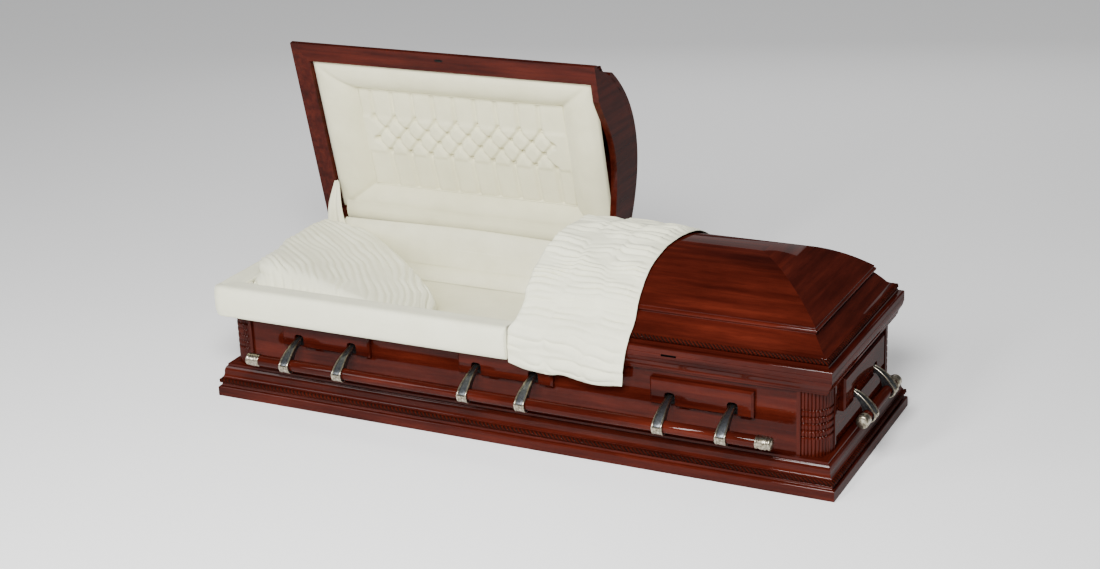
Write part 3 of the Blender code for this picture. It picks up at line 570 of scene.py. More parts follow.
def build_rail():
    """Moulded top rail, with the latch slot in its front."""
    lip = [(RAIL_INSET + inset, RIM - drop) for inset, drop in RAIL_LIP]
    slope = [(RAIL_INSET + inset, RIM - drop) for inset, drop in ogee(*RAIL_OGEE)]
    inner = RAIL_INSET + RAIL_RING_WIDTH
    step = RAIL_INSET + RAIL_STEP_IN
    lower = slope + [(slope[-1][0], RAIL_BOTTOM + RAIL_STEP_HEIGHT), (step, RAIL_BOTTOM + RAIL_STEP_HEIGHT)]
    lower += [(step, RAIL_BOTTOM), (inner, RAIL_BOTTOM)]
    corner = [(inner, RIM)]
    outer = eased(corner + lip + lower, EASE) + corner
    notch = [(RAIL_INSET + LATCH_DEPTH, RIM), (RAIL_INSET + LATCH_DEPTH, RIM - LATCH_HEIGHT)]
    notch += [(RAIL_INSET, RIM - LATCH_HEIGHT)]
    under = notch[-1:] + eased(lip[1:] + lower, EASE) + corner

    def along(x, inset, z):
        return Vector((x, inset - HALF_WIDTH, z))

    (front, front_slot), *others = frame_sides()
    low, high = LATCH_X - LATCH_HALF, LATCH_X + LATCH_HALF
    skin = Skin()
    skin.grid([[front(0, inset, z), along(low, inset, z)] for inset, z in outer], front_slot)
    skin.grid([[along(high, inset, z), front(1, inset, z)] for inset, z in outer], front_slot)
    for path, slot in ((under, front_slot), (notch, 2), (corner + notch[:1], front_slot)):
        skin.grid([[along(low, inset, z), along(high, inset, z)] for inset, z in path], slot)
    for x in (low, high):
        skin.face([along(x, inset, z) for inset, z in lip[:1] + notch], 2)
    for side, slot in others:
        skin.mould(side, outer, slot)
    settle(make("moulded_rail", skin, [CHERRY_X, CHERRY_Y, BLACK], 28), "root", "cherry", "top_rail")


def post_plan(groove):
    """Plan of a corner post with round reeds, as insets from its two outer faces."""
    centre = POST_WIDTH - POST_STRIP
    radius = centre - POST_STEP - groove
    plan = [(POST_WIDTH, 0), (centre + POST_CHAMFER, 0), (centre, POST_CHAMFER)]
    for step in range(REED_COUNT * REED_STEPS + 1):
        off_middle = 2 * (step % REED_STEPS) / REED_STEPS - 1
        angle = math.pi / 2 * step / (REED_COUNT * REED_STEPS)
        across, along = math.sin(angle), math.cos(angle)
        reach = radius - REED_DEPTH * (1 - math.sqrt(1 - off_middle ** 2))
        reach /= (across ** POST_POWER + along ** POST_POWER) ** (1 / POST_POWER)
        plan.append((centre - reach * across, centre - reach * along))
    plan += [(POST_CHAMFER, centre), (0, centre + POST_CHAMFER), (0, POST_WIDTH)]
    return plan + [(POST_WALL, POST_WIDTH), (POST_CORNER, POST_CORNER), (POST_WIDTH, POST_WALL)]


def build_posts():
    """Corner posts, each a quarter column of reeds bound by grooves."""
    collars = [POST_HIGH.z - COLLAR_DROP - i * COLLAR_PITCH for i in range(COLLAR_COUNT)]
    plans = []
    for i in range(POST_LEVELS + 1):
        z = POST_LOW.z + (POST_HIGH.z - POST_LOW.z) * i / POST_LEVELS
        groove = COLLAR_GROOVE * sum(max(1 - abs(z - collar) / COLLAR_HALF, 0) ** 0.7 for collar in collars)
        plans.append((z, post_plan(groove)))
    for end, x in (("head", -1), ("foot", 1)):
        for side, y in (("front", -1), ("back", 1)):
            skin = Skin()
            skin.tube([[(x * (POST_HIGH.x - a), y * (POST_HIGH.y - b), z) for a, b in plan]
                       for z, plan in plans])
            node = "%s_%s_post" % (end, side)
            settle(make("reeded_" + node, skin, [CHERRY_Z], 40), "root", "cherry", node)


# Lids


def crown(count):
    """Dome of a lid from its step to the ridge, as insets and heights."""
    points = []
    for share in [i / count for i in range(count + 1)]:
        rise = 1 - (1 - share) ** CROWN_POWER
        inset = STEP_INSET + (LID_SIDE - STEP_INSET) * share
        points.append((inset, STEP_TOP + (CROWN_HEIGHT - STEP_TOP) * rise))
    return points


def lid_outer():
    """Outer face of a lid: lip, seat of the bead, cove, lower panel, round nosing and dome."""
    lower = [(0, 0), (0, LID_LIP)] + arc((LID_LIP_ROUND, LID_LIP), LID_LIP_ROUND, 170, 90, 5)
    lower += LID_SEAT + [LID_COVE] + rising(LID_COVE, LID_PANEL, 1.6) + rising(LID_PANEL, LID_PANEL_TOP, 0.93)
    nosing = [(NOSING_INSET, 0.0950), (NOSING_INSET, 0.0985)]
    nosing += arc((NOSING_INSET, NOSING_HEIGHT), NOSING_ROUND, 250, 115, 7)
    nosing += [(0.0757, 0.1128), (0.0757, 0.1155)]
    return eased(lower + nosing, LID_EASE) + crown(CROWN_STEPS)


def offset(path, distance):
    """Open path moved sideways to its right, with mitred corners."""
    points = [Vector(point) for point in path]
    moved = []
    for i, point in enumerate(points):
        before = (point - points[i - 1]).normalized() if i else (points[1] - point).normalized()
        after = (points[i + 1] - point).normalized() if i + 1 < len(points) else before
        normals = [Vector((d.y, -d.x)) for d in (before, after)]
        middle = (normals[0] + normals[1]).normalized()
        moved.append(point + middle * distance / middle.dot(normals[0]))
    return [tuple(point) for point in moved]


def lid_inner():
    """Inner face of a lid from the ridge's underside down to its rim frame."""
    inner = offset(LID_INNER_FOOT + crown(8), LID_WALL)
    inner[0] = (LID_RIM_WIDTH, inner[0][1])
    inner[-1] = (LID_SIDE, CROWN_HEIGHT - LID_WALL)
    return [(LID_RIM_WIDTH, 0)] + inner


def build_lid(name, split, sign, body, matrix=None):
    """Hollow lid whose moulded sides meet in mitres."""
    outer, inner = lid_outer(), lid_inner()
    skin = Skin()
    for side, slot in lid_sides(split, sign):
        for path in (outer, inner, [outer[0], inner[0]]):
            skin.mould(side, path, slot)
        rope(skin, side, LID_BEAD, LID_LOBE)
    front, back = (side for side, slot in lid_sides(split, sign) if slot == 0)
    rim = [front(0, *point) for point in outer] + [back(0, *point) for point in reversed(outer[:-1])]
    rim += [back(0, *point) for point in inner[:-1]] + [front(0, *point) for point in reversed(inner)]
    skin.face(rim, 1)
    settle(make(name + "_lid", skin, ROPED, 24, matrix), body, "cherry", name + "_lid_shell")


def build_keeper():
    """Flush black keeper in the head lid's frame."""
    y, z = KEEPER_INSET - LID_SIDE, LID_BOTTOM - 0.0002
    skin = Skin()
    skin.tube([[(KEEPER_X + KEEPER_HALF_LENGTH * c, y + KEEPER_HALF_WIDTH * s, z + height)
                for c, s in circle(24)] for height in (0, KEEPER_THICKNESS)])
    settle(make("lid_keeper", skin, [BLACK], matrix=OPEN), "head_lid", "black_steel")


# Handles


def turned(skin, profile, start, axis, sides):
    """Round piece turned about an axis, from radii and places along it."""
    axis, up = Vector(axis), Vector((0, 0, 1))
    other = axis.cross(up)
    skin.tube([[start + axis * place + (up * c + other * s) * radius for c, s in circle(sides)]
               for radius, place in profile])


def tip_profile(radius, lip, length):
    """Cast metal tip: collar, groove, barrel and a domed end, from its open end outwards."""
    fat = radius + lip
    profile = [(radius - 0.003, -0.002), (fat - 0.0006, 0.0), (fat, 0.0012), (fat, length * 0.10)]
    profile += [(radius - 0.0004, length * 0.14), (radius - 0.0004, length * 0.20)]
    profile += [(fat - 0.0004, length * 0.24), (fat, length * 0.30), (fat, length * 0.66)]
    profile += [(radius - 0.0008, length * 0.70), (radius - 0.0008, length * 0.75)]
    profile += [(fat - 0.0005, length * 0.79), (fat * 0.985, length * 0.86)]
    return profile + [(max(fat * 0.97 * c, 0.0008), length * (0.86 + 0.14 * s)) for c, s in quarter(6)[1:]]


ARM_EYE = 0.0065
ARM_TOP_WIDTH = 0.018
ARM_FOOT_WIDTH = 0.032
ARM_CUP_WALL = 0.0055
ARM_BAR_GAP = 0.0003
ARM_EDGE = 0.0014
ARM_RIM, ARM_RIM_SWELL = 0.0027, 0.0016
ARM_BAND_HEIGHT = 0.0011
# Section of the band round the cup, as shares of its half width and of its height
ARM_BAND = ((-1, -2), (-1, 0), (-0.7, 1), (0.7, 1), (1, 0), (1, -2))
# Ridge across the cup, as angles, heights and shares of its half width
ARM_RIDGE = ((166, 0.0008, 0.97), (172, 0.0034, 1), (178, 0.0008, 0.97))


def arm_mesh(name, reach, drop, radius):
    """Curved arm seen from the side: a dark web between two bright raised edges, and a bright cup."""
    bar = (-reach, -drop)
    cup = radius + ARM_CUP_WALL
    outer_end = arc(bar, cup, 160, 285, 18)
    eye = arc((0, 0), ARM_EYE, 270, 450, 12)
    shoulder = arc(bar, cup, 28, 28, 1)[:1]
    back_line = bezier(eye[-1], (-reach * 0.80, -drop * 0.12), outer_end[0], 14)
    under_line = bezier(shoulder[0], (-reach * 0.56, -drop * 0.34), eye[0], 12)[:-1]
    seat = arc(bar, radius + ARM_BAR_GAP, 285, 20, 28)
    outline = eye + back_line + outer_end[1:] + seat + shoulder + under_line

    def half_width(y):
        share = limited(-y / reach, 0, 1.1)
        return (ARM_TOP_WIDTH + (ARM_FOOT_WIDTH - ARM_TOP_WIDTH) * share ** 1.3) / 2

    skin = Skin()
    rows = []
    for sign, depth, sink in ((-1, 0, 1), (-1, 2, 0), (1, 2, 0), (1, 0, 1)):
        row = []
        for (y, z), before, after in zip(outline, outline[-1:] + outline, outline[1:] + outline[:1]):
            along = (Vector(after) - Vector(before)).normalized()
            inward = Vector((-along.y, along.x)) * sink * ARM_EDGE
            row.append((sign * (half_width(y) - depth * ARM_EDGE), y + inward.x, z + inward.y))
        rows.append(row)
    skin.tube(rows)
    spine = [Vector(point) for point in eye[6:] + back_line + outer_end[1:]]
    for sign in (-1, 1):
        rows = []
        for i, point in enumerate(spine):
            along = direction(spine, i)
            thick = ARM_RIM + ARM_RIM_SWELL * bump(i / (len(spine) - 1) - 0.62, 0.13)
            x = sign * (half_width(point.x) - thick * 0.85)
            out = Vector((along.y, -along.x)) * thick * 0.95
            rows.append([(x + thick * c, point.x + out.x * s, point.y + out.y * s) for c, s in circle(10)])
        skin.tube(rows, 1)
    rows = []
    for y, z in arc(bar, cup + 0.0004, 176, 285, 16):
        out = (Vector((y, z)) - Vector(bar)).normalized() * ARM_BAND_HEIGHT
        half = half_width(y) - 0.001
        rows.append([(half * a, y + out.x * b, z + out.y * b) for a, b in ARM_BAND])
    skin.tube(rows, 1)
    ridge = []
    for angle, height, share in ARM_RIDGE:
        y, z = arc(bar, cup + height, angle, angle, 1)[0]
        ridge.append(((half_width(y) + 0.0006) * share, y, z))
    ridge.append([middle + (peak - middle) * 0.9 for middle, peak in zip((0, *bar), ridge[1])])
    skin.tube([[(half * share, y, z) for half, y, z in ridge] for share in [i / 4 - 1 for i in range(9)]], 1)
    piece = make(name, skin, [DARK, BRIGHT], 50)
    mesh = piece.data
    bpy.data.objects.remove(piece)
    return mesh


def side_matrix(side):
    """Turn from a handle built facing -Y to its own wall."""
    turns = {"front": 0, "back": math.pi, "foot": math.pi / 2, "head": -math.pi / 2}
    return Matrix.Rotation(turns[side], 4, "Z")


HANDLE_ARMS = {"front": 6, "back": 6, "foot": 2, "head": 2}
# Overhang and length of the metal tips of a long and a short bar
LONG_TIP = (0.0015, 0.050)
SHORT_TIP = (0.004, 0.034)
NOTCH_WALL = 0.0095
NOTCH_HALF = 0.0168
NOTCH_ROUND = 0.0098
NOTCH_RISE = 0.008
NOTCH_BOTTOM = 0.2065


def build_handle(side, arm_count):
    """Arms, bar and tips of one wall, fitted to its nodes."""
    turn = side_matrix(side)
    pivot = turn.inverted() @ Vector(JOINTS[side + "_handle_swing"]["pos_m"])
    low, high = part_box(side + "_bar")
    centre = turn.inverted() @ ((low + high) / 2)
    size = high - low
    long_side = side in ("front", "back")
    lip, tip = LONG_TIP if long_side else SHORT_TIP
    half = max(size.x, size.y) / 2
    radius = size.z / 2 - lip
    body = side + "_handle"
    mesh = arm_mesh(side + "_arm_mesh", pivot.y - centre.y, pivot.z - centre.z, radius)
    for i in range(arm_count):
        node = "%s_arm_%d" % (side, i + 1)
        arm_low, arm_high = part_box(node)
        middle = turn.inverted() @ ((arm_low + arm_high) / 2)
        obj = bpy.data.objects.new("cast_" + node, mesh)
        bpy.context.scene.collection.objects.link(obj)
        obj.matrix_world = turn @ Matrix.Translation((middle.x, pivot.y, pivot.z))
        settle(obj, body, "antique_metal", node)
    wood = Skin()
    profile = [(radius * 0.96, tip - half), (radius, tip + 0.002 - half), (radius, -half / 2), (radius, 0)]
    profile += [(ring, -place) for ring, place in profile[-2::-1]]
    turned(wood, profile, centre, (1, 0, 0), 40)
    grain = CHERRY_X if long_side else CHERRY_Y
    settle(make("wooden_%s_bar" % side, wood, [grain], 40, turn), body, "cherry", side + "_bar")
    tips = Skin()
    for sign in (-1, 1):
        start = centre + Vector((sign * (half - tip), 0, 0))
        turned(tips, tip_profile(radius, lip, tip), start, (sign, 0, 0), 36)
    settle(make(side + "_bar_tips", tips, [BRIGHT], 40, turn), body, "antique_metal")


def build_notches():
    """Black sheets at the back of the notches in the handle plates, as painted shade where the wall behind
    lies in shadow.
    """
    skin = Skin()
    flank = NOTCH_HALF - NOTCH_ROUND
    for side, count in HANDLE_ARMS.items():
        turn = side_matrix(side)
        pivot = turn.inverted() @ Vector(JOINTS[side + "_handle_swing"]["pos_m"])
        top = pivot.z + NOTCH_RISE
        outline = [(NOTCH_HALF, NOTCH_BOTTOM)] + arc((flank, top), NOTCH_ROUND, 0, 90, 6)
        outline += arc((-flank, top), NOTCH_ROUND, 90, 180, 6) + [(-NOTCH_HALF, NOTCH_BOTTOM)]
        for i in range(count):
            low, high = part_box("%s_arm_%d" % (side, i + 1))
            x = (turn.inverted() @ ((low + high) / 2)).x
            # Thin black sheet of painted shade behind each notch
            skin.tube([[turn @ Vector((x + u, pivot.y + NOTCH_WALL - depth, z)) for u, z in outline]
                       for depth in (0.0004, 0.0016)])
    settle(make("notch_shade_sheets", skin, [BLACK]), "root", "black_steel")


# Upholstery


TUFT_PITCH = 0.0792
TUFT_ROWS = (-0.0634, -0.0222, 0.0178, 0.0632)
TUFT_STARTS = (-0.8085, -0.7685)
TUFT_COLUMNS = 9
TUFT_DEPTH, TUFT_WIDTH = 0.018, 0.0090
FOLD_DEPTH, FOLD_WIDTH = 0.0100, 0.0066
FOLD_SHORTEST, FOLD_LONGEST = 0.03, 0.065
PANEL_HEIGHT = 0.0530
PANEL_SINK = 0.0045
PAD_ROLLS = {"head": 0.134, "split": 0.140, "front": 0.115, "back": 0.087}
PAD_LIP = 0.0035
PAD_EDGE_HEIGHT = 0.0165
PAD_EDGE_SHARE = 0.3
PAD_ROLL_HEIGHT = 0.0500
PAD_BACK = 0.034
PAD_BACK_RISE, PAD_BACK_SLOPE = 0.038, 0.09
PAD_GAP = 0.0003
HEAD_PAD_LOW = LID_RIM_WIDTH + PAD_GAP - LID_END
PIPING_RADIUS = 0.0022
PIPING_HEIGHT = 0.0508
PIPING_STEPS = 60
BUTTON_RADIUS = 0.0048
BUTTON_HEIGHT = 0.0655
BUTTON_RISE = 0.0032


def tufts():
    """Places of the buttons in the head lid's panel, row by row in the closed lid's plan."""
    return [Vector((TUFT_STARTS[number % 2] + TUFT_PITCH * k, y))
            for number, y in enumerate(TUFT_ROWS) for k in range(TUFT_COLUMNS)]


def tuft_folds(places, panel):
    """Folds between neighbouring buttons, and from the outer buttons to the panel's piping."""
    folds = []
    for a in places:
        for b in places:
            if b.y > a.y and FOLD_SHORTEST < (b - a).length < FOLD_LONGEST and abs(b.x - a.x) > 0.02:
                folds.append((a, b))
    folds += [(a, Vector((a.x + 0.004, panel[1] - 0.004))) for a in places[:TUFT_COLUMNS]]
    folds += [(a, Vector((a.x + 0.006, panel[3] + 0.004))) for a in places[-TUFT_COLUMNS:]]
    return folds


def segment_distance(point, a, b):
    """Distance from a point to a segment."""
    line, reach = b - a, point - a
    return (reach - line * limited(reach.dot(line) / line.length_squared)).length


def panel_relief(x, y, places, folds):
    """Depth of the tufted and pleated panel above or below its mean plane."""
    point = Vector((x, y))
    inside = limited((min(y - TUFT_ROWS[0], TUFT_ROWS[-1] - y) + 0.014) / 0.018)
    dip = TUFT_DEPTH * bump(min((point - place).length for place in places), TUFT_WIDTH)
    near = [segment_distance(point, a, b) for a, b in folds
            if abs(x - a.x) < 0.06 and min(a.y, b.y) - 0.02 < y < max(a.y, b.y) + 0.02]
    return dip + FOLD_DEPTH * bump(min(near, default=1), FOLD_WIDTH) - PANEL_SINK * smooth(inside)


def pad_height(x, y, outer, panel, rolls, relief):
    """Height of a lid pad's visible face over the rim plane."""
    x0, y0, x1, y1 = outer
    shares = [(x - x0) / rolls[0], (y - y0) / rolls[1], (x1 - x) / rolls[2], (y1 - y) / rolls[3]]
    share, second = sorted(shares)[:2]
    if share >= 1:
        edge = min(x - panel[0], panel[2] - x, y - panel[1], panel[3] - y)
        return PANEL_HEIGHT - 0.0030 * (1 - math.exp(-edge / 0.006)) + relief
    if share < PAD_EDGE_SHARE:
        height = PAD_LIP + PAD_EDGE_HEIGHT * (1 - share / PAD_EDGE_SHARE) ** 2.2
    else:
        height = PAD_LIP + PAD_ROLL_HEIGHT * ((share - PAD_EDGE_SHARE) / (1 - PAD_EDGE_SHARE)) ** 2.3
    corner_seam = bump((second - share) / (0.10 + 0.10 * share), 1.0) * 0.0045 * min(share * 6, 1)
    return height + corner_seam + 0.0012 * soft(x * 9, y * 9, 3.0) + 0.0008 * soft(x * 24, y * 24, 5.0)


def build_pad(name, low_x, high_x, body, tufted, matrix=None):
    """Lining of a lid: a soft roll round a panel, which is tufted in the head lid."""
    edge = LID_SIDE - LID_RIM_WIDTH - PAD_GAP
    rolls = [PAD_ROLLS["head"], PAD_ROLLS["front"], PAD_ROLLS["split"], PAD_ROLLS["back"]]
    if low_x > 0:
        rolls[0], rolls[2] = rolls[2], rolls[0]
    outer = (low_x, -edge, high_x, edge)
    panel = (low_x + rolls[0], rolls[1] - edge, high_x - rolls[2], edge - rolls[3])
    places = tufts() if tufted else []
    folds = tuft_folds(places, panel)

    def front(v, u):
        x, y = low_x + (high_x - low_x) * u, edge * (2 * v - 1)
        inside = panel[0] < x < panel[2] and panel[1] < y < panel[3]
        relief = panel_relief(x, y, places, folds) if tufted and inside else 0.0
        return Vector((x, y, LID_BOTTOM + max(pad_height(x, y, outer, panel, rolls, relief), 0.001)))

    def rear(point):
        inward = min(point.x - low_x, high_x - point.x, point.y + edge, edge - point.y)
        height = PAD_BACK + PAD_BACK_RISE * limited(inward / PAD_BACK_SLOPE)
        return Vector((point.x, point.y, LID_BOTTOM + height))

    step = 0.0036 if tufted else 0.012
    rows = net(round(2 * edge / step), round((high_x - low_x) / step), front)
    skin = Skin()
    skin.grid(rows)
    skin.grid([[rear(point) for point in row[::6] + row[-1:]] for row in rows[::6] + rows[-1:]])
    rim = rows[0] + [row[-1] for row in rows[1:]] + rows[-1][-2::-1] + [row[0] for row in rows[-2::-1]]
    skin.grid([rim, [Vector((point.x, point.y, LID_BOTTOM + PAD_BACK)) for point in rim]])
    piece = make(name, skin, [LID_IVORY], 60, matrix)
    settle(piece, body, "crepe", name.replace("padded_", ""))
    if tufted:
        build_piping(panel, matrix, body)
        build_buttons(places, matrix, body)


def build_piping(panel, matrix, body):
    """Thin piping round the panel of the head lid."""
    x0, y0, x1, y1 = panel
    corners = [Vector(corner) for corner in ((x0, y0), (x1, y0), (x1, y1), (x0, y1))]
    skin = Skin()
    for a, b in zip(corners, corners[1:] + corners[:1]):
        across = Vector((-(b - a).y, (b - a).x)).normalized()
        rows = []
        for i in range(PIPING_STEPS + 1):
            point = a.lerp(b, i / PIPING_STEPS)
            sway = 0.0006 * soft(point.x * 14, point.y * 14, 9)
            z = LID_BOTTOM + PIPING_HEIGHT
            rows.append([(*(point + across * (PIPING_RADIUS * c + sway)), z + PIPING_RADIUS * s)
                         for c, s in circle(8)])
        skin.tube(rows)
    settle(make("lid_piping", skin, [LID_IVORY], 60, matrix), body, "crepe")


def build_buttons(places, matrix, body):
    """Small covered buttons at the bottom of the tufts."""
    skin = Skin()
    for place in places:
        rows = []
        for share, rise in quarter(4):
            radius = max(BUTTON_RADIUS * share, 0.0003)
            z = LID_BOTTOM + BUTTON_HEIGHT - BUTTON_RISE * rise
            rows.append([(place.x + radius * c, place.y + radius * s, z) for c, s in circle(12)])
        skin.tube(rows)
    settle(make("lid_buttons", skin, [LID_IVORY], 60, matrix), body, "crepe")


# Inside of the body, with the number of points along each side of its plan
WELL_INSET = 0.066
WELL_CORNER = 0.0632
WELL_STEPS = (100, 5, 28, 5) * 2
LINING_OUTSIDE = [(0.0703, LINING_LOW.z), (0.0703, 0.1083), (0.0667, 0.1130)]
# Rolled top edge of the lining, as insets and heights over its top
LINING_ROLL = [(0.0667, -0.004), (0.0675, -0.0012), (0.070, 0), (0.0745, 0.0002), (0.0785, -0.002)]
LINING_EDGE = 0.007
COVE_WIDTH, COVE_HEIGHT = 0.036, 0.0415
COVE_TOP = 0.292
MATTRESS_ROUND, MATTRESS_RISE, MATTRESS_EDGE = 0.022, 0.0225, 0.024


def octagon(inset, height):
    """Level rectangle with its corners cut off inside the corner posts, as evenly spaced points."""
    x, y = HALF_LENGTH - inset, HALF_WIDTH - inset
    leg = WELL_CORNER - (2 - math.sqrt(2)) * (inset - WELL_INSET)
    corners = [(-x + leg, -y), (x - leg, -y), (x, -y + leg), (x, y - leg)]
    corners += [(-a, -b) for a, b in corners]
    points = []
    for a, b, count in zip(corners, corners[1:] + corners[:1], WELL_STEPS):
        points += [Vector((*a, height)).lerp(Vector((*b, height)), i / count) for i in range(count)]
    return points


def build_body_lining():
    """Cloth over the inside of the walls, with soft hanging folds and a rolled top edge."""
    top, floor = LINING_HIGH.z, MATTRESS_HIGH.z + 0.0002
    inner = HALF_LENGTH - MATTRESS_HIGH.x - 0.0003
    edge = top - LINING_EDGE
    profile = LINING_OUTSIDE + [(inset, top + height) for inset, height in LINING_ROLL]
    profile += [(inner + 0.0005, edge)]
    profile += [(inner, edge + (COVE_TOP - edge) * (i + 1) / 12) for i in range(12)]
    profile += [(inner + COVE_WIDTH * (1 - c), floor + COVE_HEIGHT * (1 - s)) for c, s in quarter(8)[1:]]
    profile += [(inner + 0.0003, floor), (inner, floor - 0.001), (inner, LINING_LOW.z)]
    rows = []
    for inset, z in profile:
        share = (z - floor - 0.001) / (top - floor)
        hang = math.sin(math.pi * share) ** 0.7 if inset >= inner and 0 < share < 1 else 0
        row = []
        for point, deeper in zip(octagon(inset, z), octagon(inset + 0.01, z)):
            place = point.x * 3.1 + point.y * 4.3
            fold = soft(place * 1.6, z * 1.2, 1.0) * 0.6 + soft(place * 5.5, z * 2.5, 4.0) * 0.4
            row.append(point + (deeper - point).normalized() * hang * (0.0035 + 0.0045 * fold))
        rows.append(row)
    skin = Skin()
    skin.grid(rows + rows[:1], wrap=True)
    piece = make("draped_body_lining", skin, [IVORY], 60)
    settle(piece, "root", "crepe", "body_lining")


def build_mattress():
    """Bed of the interior, with a soft edge and a slightly uneven top."""
    top, inset = MATTRESS_HIGH.z, HALF_LENGTH - MATTRESS_HIGH.x
    rows = [octagon(inset, MATTRESS_LOW.z)]
    for c, s in quarter(5):
        rows.append(octagon(inset + MATTRESS_ROUND * (1 - c), top - MATTRESS_EDGE + MATTRESS_RISE * s))
    rim = rows[-1]
    for share in [0.08 * i for i in range(1, 13)]:
        ring = [Vector((point.x * (1 - 0.28 * share), point.y * (1 - share), point.z)) for point in rim]
        rows.append([point + Vector((0, 0, 0.0012 * soft(point.x * 5, point.y * 7, 2.0))) for point in ring])
    skin = Skin()
    skin.tube(rows)
    piece = make("soft_mattress", skin, [IVORY], 60)
    settle(piece, "root", "crepe", "mattress")


PILLOW_LENGTH = 0.597
PILLOW_WIDTH = 0.548
PILLOW_Y = 0.001
PILLOW_HEAD_HEIGHT, PILLOW_DROP = 0.192, 0.112
PILLOW_ROLL = 0.022
PILLOW_TUCK = 0.315
PILLOW_SPILL = 0.400
PILLOW_LEAN_X, PILLOW_LEAN_Y = 0.052, 0.030
PILLOW_CORNER = 0.03
KNOT_PLACE = Vector((-0.985, -0.262))
KNOT_HEIGHT, KNOT_WIDTH = 0.018, 0.020
SEAM_STEPS = 220
SEAM_RADIUS = 0.00255
PLEAT_CENTRE = Vector((-1.19, -0.52))
PLEAT_PITCH = 0.0250
PLEAT_HEIGHT = 0.0115


def swell(distance, width):
    """Height of a quarter round at a distance from its edge, as a share."""
    share = min(max(distance / width, 0), 1)
    return math.sqrt(1 - (1 - share) ** 2)


def pillow_edges(u, v):
    """Distances from the pillow's head, foot, front and back edges."""
    return (PILLOW_LENGTH * (1 + u) / 2, PILLOW_LENGTH * (1 - u) / 2,
            PILLOW_WIDTH * (1 + v) / 2, PILLOW_WIDTH * (1 - v) / 2)


def pillow_point(u, v, upper):
    """Point of the pillow's plump form, without its pleats, from two shares of its plan."""
    along = (u + 1) / 2
    head, foot, front, back = pillow_edges(u, v)
    full = swell(head, 0.032 + 0.095 * max(-v, 0)) * swell(foot, 0.060) * swell(back, 0.050)
    full *= swell(front, 0.060 + 0.035 * (1 - along) ** 2)
    top = PILLOW_HEAD_HEIGHT - PILLOW_DROP * along
    top += PILLOW_ROLL * bump(front - 0.080, 0.10) * (1 - along) ** 2
    seam = top * 0.40
    height = seam + (top - seam) * full if upper else seam * (1 - full)
    corner = 1 - PILLOW_CORNER * (u * v) ** 2
    tuck = PILLOW_TUCK * (max(along - 0.25, 0) / 0.75) ** 1.25 * (v + 1) / 2
    x = PILLOW_LOW.x + PILLOW_LENGTH * (0.5 + u * corner / 2)
    y = PILLOW_Y + v * PILLOW_WIDTH / 2 * corner - tuck
    over = limited((PILLOW_LOW.z + height - PILLOW_SPILL) / 0.030)
    x -= PILLOW_LEAN_X * over * max(-u, 0) ** 4
    y -= PILLOW_LEAN_Y * over * max(-v, 0) ** 4 * (1 - along) ** 2
    return Vector((x, y, PILLOW_LOW.z + height))


def pleat_wave(x, y):
    """Height of the shirred pleats, which run from the head end and bend round to the front edge."""
    arm = Vector((x, y)) - PLEAT_CENTRE
    angle = math.atan2(arm.y, arm.x)
    drift = 0.030 * soft(x * 5, y * 5, 7.0) + 0.010 * soft(x * 15, y * 15, 8.0)
    phase = math.pi * (arm.length + drift) / PLEAT_PITCH
    ridge = abs(math.sin(phase)) ** 0.65
    fine = abs(math.sin(phase * 2.3 + 1.7)) ** 0.8
    strength = limited(0.62 + 1.30 * soft(arm.length * 22, angle * 3.6, 3.0), 0.08, 1.2)
    broad = 0.0045 * soft(arm.length * 11, angle * 2.2, 6.0)
    return (PLEAT_HEIGHT * ridge - 0.0075) * strength + 0.0012 * (fine - 0.6) + broad


def pleat(point, u, v):
    """Raise a point of the pillow's upper face by its pleats and its knot."""
    edge = min(pillow_edges(u, v))
    hold = min(edge / 0.05, 1)
    wave = pleat_wave(point.x, point.y) * min(edge / 0.003, 1)
    knot = KNOT_HEIGHT * bump((point.xy - KNOT_PLACE).length, KNOT_WIDTH)
    point.z += wave * (0.35 + 0.65 * hold) + knot
    point.x += wave * (1 - hold) * u
    point.y += wave * (1 - hold) * v


def build_pillow():
    """Plump shirred pillow propped at the head end, its back edge drawn towards the front corner."""
    steps_u, steps_v = ((190, 170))
    skin = Skin()
    for upper in (True, False):

        def place(row_share, share):
            u, v = (math.sin((2 * t - 1) * math.pi / 2) for t in (share, row_share))
            point = pillow_point(u, v, upper)
            if upper:
                pleat(point, u, v)
            point.z = max(point.z, PILLOW_LOW.z)
            return point

        skin.grid(net(steps_v, steps_u, place))
    piece = make("shirred_pillow", skin, [WHITE], 80)
    settle(piece, "root", "crepe", "pillow")
    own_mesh(piece)


def build_pillow_piping():
    """Seam round the edge of the pillow."""
    outline = []
    for c, s in circle(SEAM_STEPS):
        reach = (1 - PILLOW_CORNER * (abs(c * s) * 2) ** 3) / max(abs(c), abs(s))
        u, v = (limited(share * reach, -0.999, 0.999) for share in (c, s))
        outline.append(pillow_point(u, v, True))
    up = Vector((0, 0, 1))
    rows = []
    for before, point, after in zip(outline[-1:] + outline, outline, outline[1:] + outline[:1]):
        side = (after - before).cross(up).normalized()
        rows.append([point + (side * c + up * s) * SEAM_RADIUS for c, s in circle(8)])
    skin = Skin()
    skin.grid(rows + rows[:1], wrap=True)
    piece = make("pillow_seam", skin, [WHITE], 80)
    settle(piece, "root", "crepe")
    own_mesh(piece)


BAND_CORNER = 0.040
BAND_STEPS = (190, 12, 80)
BAND_FRONT_RISE = 0.019
BAND_HEAD_RISE, BAND_HEAD_WIDTH = 0.007, 0.010
BAND_INNER = -(RAIL_RING_WIDTH + 0.0135)
BAND_INNER_LIP = 0.361
BAND_SEAT = RIM + 0.0004


